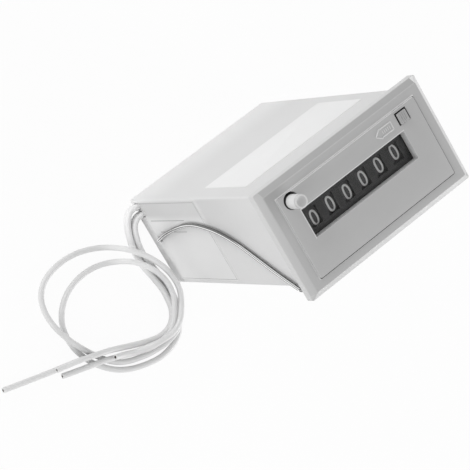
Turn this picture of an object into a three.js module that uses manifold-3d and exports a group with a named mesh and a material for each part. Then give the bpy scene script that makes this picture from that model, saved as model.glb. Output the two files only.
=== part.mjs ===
// Panel-mount electromagnetic counter: six number wheels behind a window, push reset,
// lock slide, wire mounting spring and four free leads.
// Millimetres. X is the reading direction, Y the face's up, Z out of the front.
// The origin is the middle of the rear face, on which the counter stands.

import * as THREE from 'three';
import { mergeVertices } from 'three/addons/utils/BufferGeometryUtils.js';
import Module from 'manifold-3d';

const wasm = await Module();
wasm.setup();

// Clearances and overruns
const seatGap = 0.2;
const runGap = 0.3;
const overrun = 1;

// Number wheels
const wheelCount = 6;
const digitPitch = 6.12;
const wheelRadius = 9;
const wheelRim = 1.3;
const wheelWeb = 1.1;
const wheelHubRadius = 2.8;
const drumLeft = 2.55;
const drumRight = 2.05;
const gearWidth = 0.8;
const gearRoot = 0.55;
const carryWidth = 0.42;
const carryToothWidth = 1.1;
const carryToothAngle = 14;
const carryDiscRadius = 5.2;
const carryToothRadius = 6.9;
const wheelShaftRadius = 1.2;
const shaftHeadRadius = 2;
const shaftHeadLength = 0.8;
const wheelSegments = 30;

// Transfer gearing between neighbouring wheels
const gearTeeth = 20;
const pinionTeeth = 8;
const gearModule = 0.83;
const toothAddendum = 0.55;
const toothDedendum = 0.85;
const toothRootShare = 0.5;
const toothTipShare = 0.2;
const pinionShaftRadius = 0.8;
const pinionSideGap = 0.1;
const pinionDropAngle = 212;
const pinionHubRadius = 1.5;

// Escapement and armature
const escapeTeeth = 10;
const escapeRadius = 4.6;
const escapeToothDepth = 1.5;
const escapeWidth = 0.9;
const escapeHubRadius = 2.2;
const escapeArmLength = 23;
const armatureSwing = 3;
const forkThickness = 0.8;
const forkBar = 2;
const jawThickness = 1.6;
const jawReach = 1.6;
const jawNib = 0.9;
const forkStemWidth = 3;
const armatureWidth = 16;
const armatureThickness = 1.4;
const armatureReach = 18.4;
const armatureWebWidth = 1.8;
const armatureWebInset = 0.2;
const armatureHubRadius = 1.7;
const armaturePinRadius = 0.7;
const armaturePinHead = 1.3;
const armaturePinInset = 2.4;
const airGap = 0.8;

// Side frames and their bars
const frameThickness = 1;
const leftSideRoom = 3.9;
const rightSideRoom = 5.48;
const frameToWheel = 0.5;
const escapeToFrame = 1.5;
const frameEdgeGap = 0.4;
const barRadius = 1.6;
const barSpigotRadius = 1;
const barInset = 2.6;
const upperBarDrop = 21;
const lowerBarDrop = 13.5;
const cornerCutRoom = 2;
const cornerCutDrop = 16;

// Case, bezel and face
const overallDepth = 80;
const caseWall = 1.6;
const wheelAxisRise = 1.6;
const roomAboveWheels = 2.2;
const caseEdgeRadius = 0.8;
const bezelSideLip = 3.3;
const bezelEndLip = 2.1;
const bezelThickness = 4;
const bezelChamferInset = 1.8;
const bezelChamferDepth = 1.6;
const bezelCornerRadius = 0.5;
const caseGrooveDepth = 0.5;
const collarDepth = 2.5;
const collarWall = 1.2;
const ledgeThickness = 1.2;
const ledgeWidth = 1.3;
const facePlateMarginX = 4.55;
const facePlateMarginY = 4.25;
const facePlateThickness = 2.4;
const facePlateRaise = 0.3;
const faceRimWidth = 1.2;
const faceRimDepth = 0.7;
const windowLeftRoom = 3.82;
const windowRightRoom = 3.93;
const windowBelow = 4.1;
const windowAbove = 4.5;
const lensThickness = 0.6;
const lensLap = 1.3;
const lensTopLap = 0.3;
const maskThickness = 0.3;
const maskToWheel = 0.3;
const apertureWidth = 3.7;
const apertureHeight = 5.2;

// Reset button
const buttonFromSide = 3.55;
const buttonFromTop = 3.4;
const buttonRadius = 1.95;
const buttonHoleRadius = 2.5;
const buttonRise = 4.7;
const buttonTravel = 3;
const buttonEdge = 0.3;
const dimpleRadius = 1.35;
const dimpleDepth = 0.45;
const flangeRadius = 2.7;
const flangeThickness = 1;
const flangeBelowPlate = 0.3;
const stemRadius = 0.9;
const stemLength = 19.6;
const springCoilRadius = 1.5;
const springWire = 0.4;
const springTurns = 9;
const shelfBelowPlate = 15.1;
const shelfThickness = 1;
const shelfHoleRadius = 1.25;
const shelfRoom = 1.6;
const notchRadius = 2.95;

// Reset comb
const combBarRadius = 1.6;
const combJournalRadius = 1.3;
const combAxisDrop = 13.5;
const combAxisShift = -1;
const combFingerLength = 3.6;
const combFingerWidth = 1.6;
const combFingerThickness = 1;
const combArmThickness = 1.7;
const combArmHeight = 1.6;
const combArmTilt = 13;
const combTravel = 26;

// Lock slide
const lockSlotWidth = 4.15;
const lockSlotHeight = 3.75;
const lockSlotOverlap = 0.2;
const lockKnobWidth = 3.1;
const lockKnobHeight = 3.15;
const lockKnobDrop = 0.15;
const lockAboveAxis = 7.975;
const lockTravel = 0.45;
const lockRise = 0.4;
const lockPlateThickness = 0.7;
const lockPlateLap = 0.85;
const lockPlateHeight = 3.7;
const lockPlateGap = 0.3;

// Rear cover, lead outlets and screws
const coverThickness = 2;
const ribHeight = 10;
const ribThickness = 1.6;
const ribLength = 12;
const bossRadius = 2.6;
const bossLength = 8;
const bossInset = 3.4;
const screwRadius = 0.9;
const screwLength = 8;
const screwHeadRadius = 1.9;
const screwHeadHeight = 1.2;
const screwSlotWidth = 0.5;
const screwSlotDepth = 0.5;
const leadDiameter = 1.7;
const leadFloorGap = 0.02;
const shortLeadsY = 12.1;
const longLeadsY = 9.6;
const outletWidth = 2.3;
const outletHeight = 4.1;
const leadInnerX = -22.2;
const gripLength = 3;
const gripHeight = 5.4;
const gripFlange = 1.4;
const gripFlangeThickness = 1.2;

// Lead routes from the grip to the cut ends, as [x, y, height], lying on the floor or on each other
const leadFloor = 0.9;
const leadUp = 2.95;
const leadOver = 4.97;
const lowerShortRoute = [
  [-22.2, 11.7, leadFloor], [-24.8, 11.85, leadFloor], [-26.4, 12.1, leadFloor], [-28.0, 12.28, leadFloor],
  [-29.65, 11.75, leadFloor], [-30.95, 10.55, leadFloor], [-32.2, 8.35, leadFloor],
  [-33.25, 5.5, leadFloor], [-33.9, 3.02, leadFloor], [-34.24, 0.46, leadFloor], [-34.24, -2.33, leadFloor],
  [-33.78, -5.44, leadFloor], [-33.11, -8.88, leadFloor], [-32.59, -12.57, leadFloor],
  [-32.72, -16.01, leadFloor], [-33.15, -18.72, leadFloor], [-34.18, -20.84, leadFloor],
  [-35.71, -22.43, leadFloor], [-37.92, -23.37, leadFloor], [-40.7, -23.52, leadFloor],
  [-44.1, -22.74, leadFloor], [-47.23, -21.57, leadFloor], [-50.26, -20.28, leadFloor],
  [-53.3, -18.95, 1.0], [-56.56, -17.46, 1.7], [-59.72, -16.16, 2.7], [-62.94, -15.06, leadUp],
  [-66.32, -14.0, 2.8], [-70.6, -13.14, 1.4], [-76.13, -11.74, leadFloor], [-82.7, -9.9, leadFloor],
  [-89.72, -7.87, leadFloor]];
const upperShortRoute = [
  [-22.2, 11.7, leadUp], [-24.8, 11.85, leadUp], [-26.5, 12.2, leadUp], [-28.3, 12.45, leadUp],
  [-30.05, 12.0, leadUp], [-31.4, 10.8, leadUp], [-32.75, 8.7, leadUp], [-33.85, 5.9, leadUp],
  [-34.48, 3.42, leadUp], [-34.83, 0.87, leadUp], [-34.82, -1.91, leadUp], [-34.37, -5.01, leadUp],
  [-33.69, -8.44, leadUp], [-33.18, -12.12, leadUp], [-33.31, -15.55, leadUp], [-33.74, -18.25, leadUp],
  [-34.76, -20.37, leadUp], [-36.29, -21.95, leadUp], [-38.49, -22.89, leadUp], [-41.27, -23.04, leadUp],
  [-44.65, -22.25, leadUp], [-47.77, -21.09, leadUp], [-50.79, -19.81, leadUp], [-54.18, -18.21, 3.3],
  [-57.49, -16.68, 4.15], [-60.55, -15.46, 4.9], [-63.7, -14.4, 5.02], [-66.99, -13.42, 4.65],
  [-71.0, -12.67, 3.35], [-73.79, -12.09, 3.0]];
const innerLoopRoute = [
  [-22.2, 9.45, leadFloor], [-24.5, 9.5, leadFloor], [-26.7, 9.58, leadFloor], [-28.3, 9.35, leadFloor],
  [-29.5, 8.65, leadFloor], [-30.35, 7.55, leadFloor], [-30.95, 6.25, leadFloor], [-31.3, 4.9, leadFloor],
  [-31.93, 2.63, leadFloor], [-32.25, 0.34, leadFloor], [-32.25, -2.17, leadFloor],
  [-31.81, -5.09, leadFloor], [-31.13, -8.55, leadFloor], [-30.59, -12.46, leadFloor],
  [-30.73, -16.19, leadFloor], [-31.23, -19.29, leadFloor], [-32.37, -21.71, leadFloor],
  [-33.6, -23.9, leadFloor], [-34.82, -25.9, leadFloor], [-37.12, -27.49, leadFloor],
  [-40.4, -28.49, leadFloor], [-44.31, -28.69, leadFloor], [-47.84, -28.04, leadFloor],
  [-51.1, -27.07, leadFloor], [-54.1, -25.8, leadFloor], [-56.75, -24.2, leadFloor],
  [-59.09, -22.18, leadFloor], [-61.15, -19.8, leadFloor], [-62.88, -17.31, leadFloor],
  [-64.12, -14.62, leadFloor], [-65.06, -11.66, leadFloor], [-65.45, -8.8, leadFloor],
  [-65.3, -5.82, leadFloor], [-64.57, -3.04, leadFloor], [-63.2, -0.54, leadFloor],
  [-61.03, 1.76, leadFloor], [-58.08, 3.69, leadFloor], [-54.39, 4.86, leadFloor],
  [-50.47, 5.22, leadFloor], [-46.26, 4.68, leadFloor], [-42.83, 3.57, 1.6], [-40.36, 2.36, 3.2],
  [-38.54, 1.15, 4.6], [-36.78, -0.49, leadOver], [-35.06, -2.55, leadOver], [-33.56, -4.96, leadOver],
  [-32.41, -7.63, leadOver], [-31.8, -10.39, leadOver], [-31.87, -13.14, leadOver],
  [-32.51, -15.68, leadOver], [-33.72, -18.02, leadOver], [-35.27, -20.11, leadOver],
  [-36.94, -21.95, leadOver], [-39.19, -23.2, leadOver], [-41.77, -23.68, 4.95], [-44.32, -23.63, 4.7],
  [-46.34, -23.68, 3.5], [-48.02, -23.5, 2.0], [-50.47, -22.66, 1.2], [-53.63, -21.22, 1.6],
  [-57.06, -19.69, 2.6], [-60.26, -18.45, leadUp], [-63.74, -17.39, leadUp], [-67.0, -16.58, 2.3],
  [-69.82, -15.92, 1.4], [-72.74, -15.08, 1.1]];
const outerLoopRoute = [
  [-22.2, 9.45, leadUp], [-24.5, 9.5, leadUp], [-26.7, 9.6, leadUp], [-28.5, 9.45, leadUp],
  [-29.9, 8.8, leadUp], [-30.9, 7.7, leadUp], [-31.55, 6.4, leadUp], [-31.95, 5.2, leadUp],
  [-32.52, 3.04, leadUp], [-32.83, 0.75, leadUp], [-32.83, -1.75, leadUp], [-32.4, -4.67, leadUp],
  [-31.72, -8.11, leadUp], [-31.18, -12.01, leadUp], [-31.32, -15.73, leadUp], [-31.82, -18.82, leadUp],
  [-32.96, -21.24, leadUp], [-34.19, -23.41, leadUp], [-36.23, -24.83, 2.8], [-38.63, -25.8, 2.2],
  [-41.06, -26.27, 1.3], [-43.65, -26.17, leadFloor], [-46.33, -25.77, leadFloor],
  [-49.18, -25.07, leadFloor], [-52.52, -23.95, leadFloor], [-55.53, -22.38, leadFloor],
  [-57.95, -20.24, leadFloor], [-59.98, -17.54, leadFloor], [-61.89, -14.61, 1.0], [-63.18, -12.7, 2.15],
  [-64.27, -10.89, 2.85], [-65.61, -8.03, leadUp], [-66.78, -4.73, leadUp], [-67.61, -1.39, leadUp],
  [-67.66, 1.93, 2.4], [-66.79, 5.06, 1.3], [-65.27, 7.77, leadFloor], [-62.83, 10.04, leadFloor],
  [-59.54, 11.39, leadFloor], [-55.41, 11.95, leadFloor], [-50.75, 11.6, leadFloor],
  [-46.0, 10.19, leadFloor], [-41.99, 8.25, 1.6], [-38.9, 6.05, 3.6], [-36.82, 4.0, 4.9],
  [-34.88, 1.76, leadOver], [-33.07, -0.74, leadOver], [-31.47, -3.59, leadOver], [-30.25, -6.44, leadOver],
  [-29.49, -9.41, leadOver], [-29.29, -12.28, leadOver], [-29.71, -14.97, leadOver], [-30.9, -17.31, 5.25],
  [-32.6, -19.29, 5.9], [-34.3, -21.09, 6.3], [-36.59, -22.46, 6.85], [-39.36, -23.23, 6.95],
  [-42.65, -23.11, 6.95], [-45.69, -22.73, 6.3], [-48.33, -22.36, 4.7], [-51.11, -21.8, 3.5],
  [-54.25, -20.41, 3.85], [-57.45, -19.04, 4.9]];
const longLeadSteps = 60;
const shortLeadSteps = 32;

// Electromagnet
const yokeThickness = 1.5;
const yokeBaseThickness = 2;
const yokeWidth = 16;
const yokeBaseTop = 9;
const yokeLimbGap = 0.5;
const ribSpacing = 18;
const coreRadius = 3.4;
const coreSpigotRadius = 2;
const bobbinTube = 0.9;
const bobbinFlange = 1;
const bobbinRadius = 9.5;
const windingInset = 0.4;
const magnetY = 0;
const bobbinBelowCore = 1.5;
const bobbinInset = 0.3;
const returnSpringRadius = 1.35;
const returnSpringWire = 0.35;
const returnSpringTurns = 6;
const returnSpringLength = 5.4;
const returnSpringGap = 0.4;

// Wire mounting spring
const wireRadius = 0.6;
const wirePivotY = 0.9;
const wirePivotZ = 4.9;
const wireInnerReach = 0.7;
const wireSideGap = 0.25;
const wireBend = 1.3;
const wireBarBelowCase = 0.7;
const wireBarBehindBezel = 5.1;
const wireArmShares = [0.092, 0.173, 0.2474, 0.33, 0.42, 0.5174, 0.6, 0.6868, 0.79, 0.895];
const wireArmBows = [3.51, 6.13, 8.29, 10.4, 11.85, 12.24, 11.8, 10.2, 6.75, 3.1];

// Places worked out from the sizes above
const gearRadius = gearModule * gearTeeth / 2;
const pinionRadius = gearModule * pinionTeeth / 2;
const gearCentres = gearRadius + pinionRadius;
const stackWidth = digitPitch * (wheelCount - 1) + drumLeft + carryWidth + drumRight;
const escapeLeft = frameToWheel + stackWidth + runGap;
const frameSpan = 2 * frameThickness + escapeLeft + escapeWidth + escapeToFrame;
const caseInnerWidth = frameSpan + leftSideRoom + rightSideRoom;
const caseInnerHeight = 2 * (wheelRadius + wheelAxisRise + roomAboveWheels);
const caseWidth = caseInnerWidth + 2 * caseWall;
const caseHeight = caseInnerHeight + 2 * caseWall;
const bezelWidth = caseWidth + 2 * bezelSideLip;
const bezelHeight = caseHeight + 2 * bezelEndLip;
const caseFront = overallDepth - bezelThickness;
const faceFront = overallDepth + facePlateRaise;
const faceBack = faceFront - facePlateThickness;
const wheelY = wheelAxisRise;
const maskBack = faceBack - lensThickness - maskThickness;
const wheelZ = maskBack - maskToWheel - wheelRadius;
const leftFrameX = -caseInnerWidth / 2 + leftSideRoom;
const rightFrameX = caseInnerWidth / 2 - rightSideRoom - frameThickness;
const frameInnerX = leftFrameX + frameThickness;
const firstDigitX = frameInnerX + frameToWheel + carryWidth + drumLeft;
const digitX = (index) => firstDigitX + index * digitPitch;
const lastDigitX = digitX(wheelCount - 1);
const escapeX = lastDigitX + drumRight + runGap;
const pinionAngle = THREE.MathUtils.degToRad(pinionDropAngle);
const pinionY = wheelY + gearCentres * Math.cos(pinionAngle);
const pinionZ = wheelZ + gearCentres * Math.sin(pinionAngle);
const combY = wheelY - combAxisShift;
const combZ = wheelZ - combAxisDrop;
const armatureY = -caseInnerHeight / 2 + armaturePinInset;
const armatureZ = wheelZ - escapeArmLength;
const plateBottomZ = armatureZ - armatureHubRadius - airGap - runGap;
const coreTopZ = plateBottomZ - airGap;
const chassisZ = coverThickness + ribHeight;
const yokeTopZ = chassisZ + yokeBaseThickness;
const frameTopZ = caseFront - collarDepth;
const frameHalfHeight = caseInnerHeight / 2 - frameEdgeGap;
const buttonX = -caseInnerWidth / 2 + buttonFromSide;
const buttonY = caseInnerHeight / 2 - buttonFromTop;
const shelfZ = faceBack - shelfBelowPlate;
const upperBarZ = wheelZ - upperBarDrop;
const lowerBarZ = wheelZ - lowerBarDrop;
const cornerCutY = buttonY - cornerCutRoom;
const cornerCutZ = wheelZ - cornerCutDrop;
const windowLeft = firstDigitX - windowLeftRoom;
const windowRight = lastDigitX + windowRightRoom;
const windowBottom = wheelY - windowBelow;
const windowTop = wheelY + windowAbove;

// Colours
const caseGrey = 0xdcdcdc;
const bezelGrey = 0xaeaeae;
const plateGrey = 0xa9a9a9;
const buttonWhite = 0xd2d2d2;
const wheelBlack = 0x303030;
const steel = 0x9a9ea2;
const brass = 0xb59a5a;
const copper = 0xa8623a;
const nylon = 0xe6e2d6;
const leadWhite = 0xe2e2e0;

const counter = new THREE.Group();

function addPart(name, geometry, color, roughness = 0.5, metalness = 0) {
  const material = new THREE.MeshStandardMaterial({ color, roughness, metalness });
  const mesh = new THREE.Mesh(geometry, material);
  mesh.name = name;
  counter.add(mesh);
  return mesh;
}

// Solid modelling helpers
function toSolid(geometry) {
  const bare = geometry.clone();
  bare.deleteAttribute('normal');
  bare.deleteAttribute('uv');
  const merged = mergeVertices(bare);
  const vertProperties = new Float32Array(merged.attributes.position.array);
  const triVerts = new Uint32Array(merged.index.array);
  return new wasm.Manifold(new wasm.Mesh({ numProp: 3, vertProperties, triVerts }));
}

function toGeometry(solid) {
  const mesh = solid.getMesh();
  const geometry = new THREE.BufferGeometry();
  geometry.setAttribute('position', new THREE.BufferAttribute(new Float32Array(mesh.vertProperties), 3));
  geometry.setIndex(new THREE.BufferAttribute(new Uint32Array(mesh.triVerts), 1));
  geometry.computeVertexNormals();
  return geometry;
}

function join(...geometries) {
  return toGeometry(geometries.map(toSolid).reduce((sum, next) => sum.add(next)));
}

function cut(base, ...tools) {
  return toGeometry(tools.map(toSolid).reduce((rest, tool) => rest.subtract(tool), toSolid(base)));
}

function block(x0, x1, y0, y1, z0, z1) {
  const geometry = new THREE.BoxGeometry(x1 - x0, y1 - y0, z1 - z0);
  return geometry.translate((x0 + x1) / 2, (y0 + y1) / 2, (z0 + z1) / 2);
}

// Outlines drawn in the YZ plane run along X, outlines drawn in the XY plane run along Z
const alongX = new THREE.Matrix4().makeBasis(
  new THREE.Vector3(0, 1, 0), new THREE.Vector3(0, 0, 1), new THREE.Vector3(1, 0, 0));

function prismX(shape, x0, x1, curveSegments = 3) {
  const geometry = new THREE.ExtrudeGeometry(shape, { depth: x1 - x0, bevelEnabled: false, curveSegments });
  return geometry.applyMatrix4(alongX).translate(x0, 0, 0);
}

function prismZ(shape, z0, z1, curveSegments = 3) {
  const geometry = new THREE.ExtrudeGeometry(shape, { depth: z1 - z0, bevelEnabled: false, curveSegments });
  return geometry.translate(0, 0, z0);
}

function rodX(radius, x0, x1, y, z, segments = 16) {
  const geometry = new THREE.CylinderGeometry(radius, radius, x1 - x0, segments);
  return geometry.rotateZ(-Math.PI / 2).translate((x0 + x1) / 2, y, z);
}

function rodZ(radius, z0, z1, x, y, segments = 16) {
  const geometry = new THREE.CylinderGeometry(radius, radius, z1 - z0, segments);
  return geometry.rotateX(Math.PI / 2).translate(x, y, (z0 + z1) / 2);
}

// Turned pieces: profile points are [radius, height along the axis]
function turnedZ(profile, x, y, segments = 24) {
  const points = profile.map(([radius, height]) => new THREE.Vector2(radius, height));
  return new THREE.LatheGeometry(points, segments).rotateX(Math.PI / 2).translate(x, y, 0);
}

function turnedX(profile, y, z, segments = 24) {
  const points = profile.map(([radius, height]) => new THREE.Vector2(radius, height));
  return new THREE.LatheGeometry(points, segments).rotateZ(-Math.PI / 2).translate(0, y, z);
}

function roundedRectangle(halfWidth, halfHeight, radius) {
  const shape = new THREE.Shape();
  shape.moveTo(-halfWidth + radius, -halfHeight);
  shape.lineTo(halfWidth - radius, -halfHeight);
  shape.absarc(halfWidth - radius, -halfHeight + radius, radius, -Math.PI / 2, 0);
  shape.lineTo(halfWidth, halfHeight - radius);
  shape.absarc(halfWidth - radius, halfHeight - radius, radius, 0, Math.PI / 2);
  shape.lineTo(-halfWidth + radius, halfHeight);
  shape.absarc(-halfWidth + radius, halfHeight - radius, radius, Math.PI / 2, Math.PI);
  shape.lineTo(-halfWidth, -halfHeight + radius);
  shape.absarc(-halfWidth + radius, -halfHeight + radius, radius, Math.PI, 1.5 * Math.PI);
  return shape;
}

function polygon(points) {
  return new THREE.Shape(points.map(([u, v]) => new THREE.Vector2(u, v)));
}

// Straight-flanked teeth round a circle, the first centred on the phase angle
function toothedShape(teeth, rootRadius, tipRadius, phase, step = 1) {
  const pitchAngle = 2 * Math.PI / teeth;
  const points = [];
  for (let tooth = 0; tooth < teeth; tooth += step) {
    const centre = phase + tooth * pitchAngle;
    const rootHalf = toothRootShare * pitchAngle / 2;
    const tipHalf = toothTipShare * pitchAngle / 2;
    points.push([rootRadius, centre - rootHalf], [tipRadius, centre - tipHalf]);
    points.push([tipRadius, centre + tipHalf], [rootRadius, centre + rootHalf]);
    if (step > 1) {
      points.push([rootRadius, centre + pitchAngle]);
    }
  }
  return polygon(points.map(([radius, angle]) => [radius * Math.cos(angle), radius * Math.sin(angle)]));
}

// A round wire or tube swept along a curve
function tubeAlong(curve, radius, sides, steps) {
  const section = new THREE.Shape();
  for (let side = 0; side < sides; side += 1) {
    const angle = 2 * Math.PI * side / sides;
    const point = [radius * Math.cos(angle), radius * Math.sin(angle)];
    if (side === 0) {
      section.moveTo(...point);
    } else {
      section.lineTo(...point);
    }
  }
  return new THREE.ExtrudeGeometry(section, { steps, extrudePath: curve, bevelEnabled: false });
}

// Coil spring: straight ends one wire diameter long, then an even helix between them
class SpringCurve extends THREE.Curve {
  constructor(coilRadius, turns, length, wire) {
    super();
    Object.assign(this, { coilRadius, turns, length, wire });
  }

  getPoint(t, target = new THREE.Vector3()) {
    const angle = 2 * Math.PI * this.turns * t;
    const rise = this.wire / 2 + (this.length - this.wire) * t;
    return target.set(this.coilRadius * Math.cos(angle), this.coilRadius * Math.sin(angle), rise);
  }
}

function coilSpring(name, coilRadius, wire, turns, length, x, y, z) {
  const curve = new SpringCurve(coilRadius, turns, length, wire);
  const stepsPerTurn = 8;
  const geometry = tubeAlong(curve, wire / 2, 5, Math.round(stepsPerTurn * turns));
  console.log(name, 'least gap between turns', ((length - wire) / turns - wire).toFixed(2));
  return geometry.translate(x, y, z);
}

// Case: a moulded sleeve open at the front and the rear
function makeCase() {
  const outer = roundedRectangle(caseWidth / 2, caseHeight / 2, caseEdgeRadius);
  outer.holes.push(roundedRectangle(caseInnerWidth / 2, caseInnerHeight / 2, caseEdgeRadius / 2));
  const parts = [prismZ(outer, 0, caseFront + caseGrooveDepth)];
  const bossTop = coverThickness + seatGap + bossLength;
  for (const side of [-1, 1]) {
    const bossX = side * (caseInnerWidth / 2 - bossInset);
    const bossY = -caseInnerHeight / 2 + bossInset;
    const ribEnd = side * (caseInnerWidth / 2 + caseWall / 2);
    const ribHalf = caseWall / 2;
    parts.push(rodZ(bossRadius, coverThickness + seatGap, bossTop, bossX, bossY, 20));
    parts.push(block(Math.min(bossX, ribEnd), Math.max(bossX, ribEnd), bossY - ribHalf, bossY + ribHalf,
      coverThickness + seatGap, bossTop));
  }
  const wallHalf = caseWall / 2;
  parts.push(block(-caseInnerWidth / 2 - wallHalf, buttonX + shelfRoom, buttonY - shelfRoom,
    caseInnerHeight / 2 + wallHalf, shelfZ, shelfZ + shelfThickness));
  const shelfTop = shelfZ + shelfThickness;
  const tools = [rodZ(shelfHoleRadius, shelfZ - overrun, shelfTop + overrun, buttonX, buttonY, 20)];
  for (const side of [-1, 1]) {
    const bossX = side * (caseInnerWidth / 2 - bossInset);
    tools.push(rodZ(screwRadius + runGap, 0, bossTop + overrun, bossX, -caseInnerHeight / 2 + bossInset, 16));
    const wallMiddle = side * (caseWidth - caseWall) / 2;
    tools.push(rodX(wireRadius + runGap, wallMiddle - caseWall, wallMiddle + caseWall, wirePivotY,
      wirePivotZ));
  }
  for (const outletY of [shortLeadsY, longLeadsY]) {
    tools.push(block(-caseWidth / 2 - overrun, -caseInnerWidth / 2 + overrun, outletY - outletWidth / 2,
      outletY + outletWidth / 2, -overrun, outletHeight));
  }
  addPart('case', cut(join(...parts), ...tools), caseGrey, 0.45);
}

// Rear cover: closes the case, carries the lead grip and holds the chassis with two ribs
function makeRearCover() {
  const halfWidth = caseInnerWidth / 2 - seatGap;
  const halfHeight = caseInnerHeight / 2 - seatGap;
  const plate = prismZ(roundedRectangle(halfWidth, halfHeight, caseEdgeRadius / 2), 0, coverThickness);
  const ribs = [-1, 1].map((side) => {
    const ribX = side * ribSpacing / 2;
    return block(ribX - ribThickness / 2, ribX + ribThickness / 2, magnetY - ribLength / 2,
      magnetY + ribLength / 2, coverThickness - overrun, coverThickness + ribHeight);
  });
  const tools = [];
  for (const side of [-1, 1]) {
    const screwX = side * (caseInnerWidth / 2 - bossInset);
    const screwY = -caseInnerHeight / 2 + bossInset;
    tools.push(rodZ(screwRadius + runGap, -overrun, coverThickness + overrun, screwX, screwY));
    tools.push(rodZ(screwHeadRadius + runGap, -overrun, screwHeadHeight + seatGap, screwX, screwY, 20));
  }
  const slotBottom = longLeadsY - outletWidth / 2;
  const slotTop = halfHeight + overrun;
  tools.push(block(-halfWidth - overrun, leadInnerX + runGap + gripLength + seatGap, slotBottom, slotTop,
    -overrun, coverThickness + overrun));
  addPart('rear_cover', cut(join(plate, ...ribs), ...tools), caseGrey, 0.5);
}

function makeRearScrews() {
  [-1, 1].forEach((side, index) => {
    const screwX = side * (caseInnerWidth / 2 - bossInset);
    const screwY = -caseInnerHeight / 2 + bossInset;
    const headTop = screwHeadHeight;
    const headBottom = seatGap;
    const profile = [[0, headBottom], [screwHeadRadius, headBottom], [screwHeadRadius, headTop],
      [screwRadius, headTop], [screwRadius, headTop + screwLength], [0, headTop + screwLength]];
    const slot = block(screwX - screwHeadRadius - overrun, screwX + screwHeadRadius + overrun,
      screwY - screwSlotWidth / 2, screwY + screwSlotWidth / 2, headBottom - overrun,
      headBottom + screwSlotDepth);
    addPart(`rear_screw_${index + 1}`, cut(turnedZ(profile, screwX, screwY, 16), slot), steel, 0.35, 0.9);
  });
}

// Bezel: chamfered front frame with a collar that enters the case and a ledge for the face plate
function makeBezel() {
  const halfWidth = bezelWidth / 2;
  const halfHeight = bezelHeight / 2;
  const chamferStart = overallDepth - bezelChamferDepth;
  const body = prismZ(roundedRectangle(halfWidth, halfHeight, bezelCornerRadius), caseFront, chamferStart);
  const corners = roundedRectangle(halfWidth, halfHeight, bezelCornerRadius).getPoints(3);
  const outline = corners.filter((point, index) => index === 0 || point.distanceTo(corners[index - 1]) > 0)
    .slice(0, -1);
  const shrinkX = (halfWidth - bezelChamferInset) / halfWidth;
  const shrinkY = (halfHeight - bezelChamferInset) / halfHeight;
  const slope = loftZ(outline, chamferStart, shrinkX, shrinkY, overallDepth);
  const collar = prismZ(roundedRectangle(caseInnerWidth / 2 - seatGap, caseInnerHeight / 2 - seatGap,
    caseEdgeRadius / 2), caseFront - collarDepth, caseFront + overrun);
  const openingX = bezelWidth / 2 - facePlateMarginX + seatGap;
  const openingY = bezelHeight / 2 - facePlateMarginY + seatGap;
  const ledgeX = Math.min(openingX - ledgeWidth, caseInnerWidth / 2 - seatGap - collarWall);
  const ledgeY = Math.min(openingY - ledgeWidth, caseInnerHeight / 2 - seatGap - collarWall);
  const front = prismZ(roundedRectangle(openingX, openingY, bezelCornerRadius), caseFront + ledgeThickness,
    overallDepth + overrun);
  const through = prismZ(roundedRectangle(ledgeX, ledgeY, bezelCornerRadius),
    caseFront - collarDepth - overrun, overallDepth);
  const buttonRoom = rodZ(notchRadius, caseFront - collarDepth - overrun, overallDepth, buttonX, buttonY, 24);
  const grooveShape = roundedRectangle(caseWidth / 2 + seatGap, caseHeight / 2 + seatGap, caseEdgeRadius);
  grooveShape.holes.push(roundedRectangle(caseInnerWidth / 2 - seatGap, caseInnerHeight / 2 - seatGap,
    caseEdgeRadius / 2));
  const groove = prismZ(grooveShape, caseFront - overrun, caseFront + caseGrooveDepth);
  addPart('bezel', cut(join(body, slope, collar), front, through, buttonRoom, groove), bezelGrey, 0.5);
}

// A straight-sided loft from an outline up to the same outline shrunk in X and Y
function loftZ(outline, z0, shrinkX, shrinkY, z1) {
  const count = outline.length;
  const positions = [];
  for (const point of outline) {
    positions.push(point.x, point.y, z0);
  }
  for (const point of outline) {
    positions.push(point.x * shrinkX, point.y * shrinkY, z1);
  }
  positions.push(0, 0, z0, 0, 0, z1);
  const index = [];
  for (let i = 0; i < count; i += 1) {
    const next = (i + 1) % count;
    index.push(i, next, count + next, i, count + next, count + i);
    index.push(2 * count, next, i, 2 * count + 1, count + i, count + next);
  }
  const geometry = new THREE.BufferGeometry();
  geometry.setAttribute('position', new THREE.BufferAttribute(new Float32Array(positions), 3));
  geometry.setIndex(index);
  return geometry;
}

function lockCentre() {
  return [windowRight - lockSlotOverlap + lockSlotWidth / 2, wheelY + lockAboveAxis];
}

// Face plate: window, reset button hole and lock slot
function makeFacePlate() {
  const halfWidth = bezelWidth / 2 - facePlateMarginX;
  const halfHeight = bezelHeight / 2 - facePlateMarginY;
  const plate = prismZ(roundedRectangle(halfWidth, halfHeight, bezelCornerRadius), faceBack - faceRimDepth,
    faceFront);
  const hollow = prismZ(roundedRectangle(halfWidth - faceRimWidth, halfHeight - faceRimWidth,
    bezelCornerRadius), faceBack - faceRimDepth - overrun, faceBack);
  const [lockX, lockY] = lockCentre();
  const low = faceBack - overrun;
  const high = faceFront + overrun;
  const window = block(windowLeft, windowRight, windowBottom, windowTop, low, high);
  const buttonHole = rodZ(buttonHoleRadius, low, high, buttonX, buttonY, 24);
  const slot = block(lockX - lockSlotWidth / 2, lockX + lockSlotWidth / 2, lockY - lockSlotHeight / 2,
    lockY + lockSlotHeight / 2, low, high);
  const flangeRoom = rodZ(notchRadius, faceBack - faceRimDepth - overrun, faceBack, buttonX, buttonY, 24);
  addPart('face_plate', cut(plate, hollow, window, buttonHole, slot, flangeRoom), plateGrey, 0.45);
}

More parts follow.
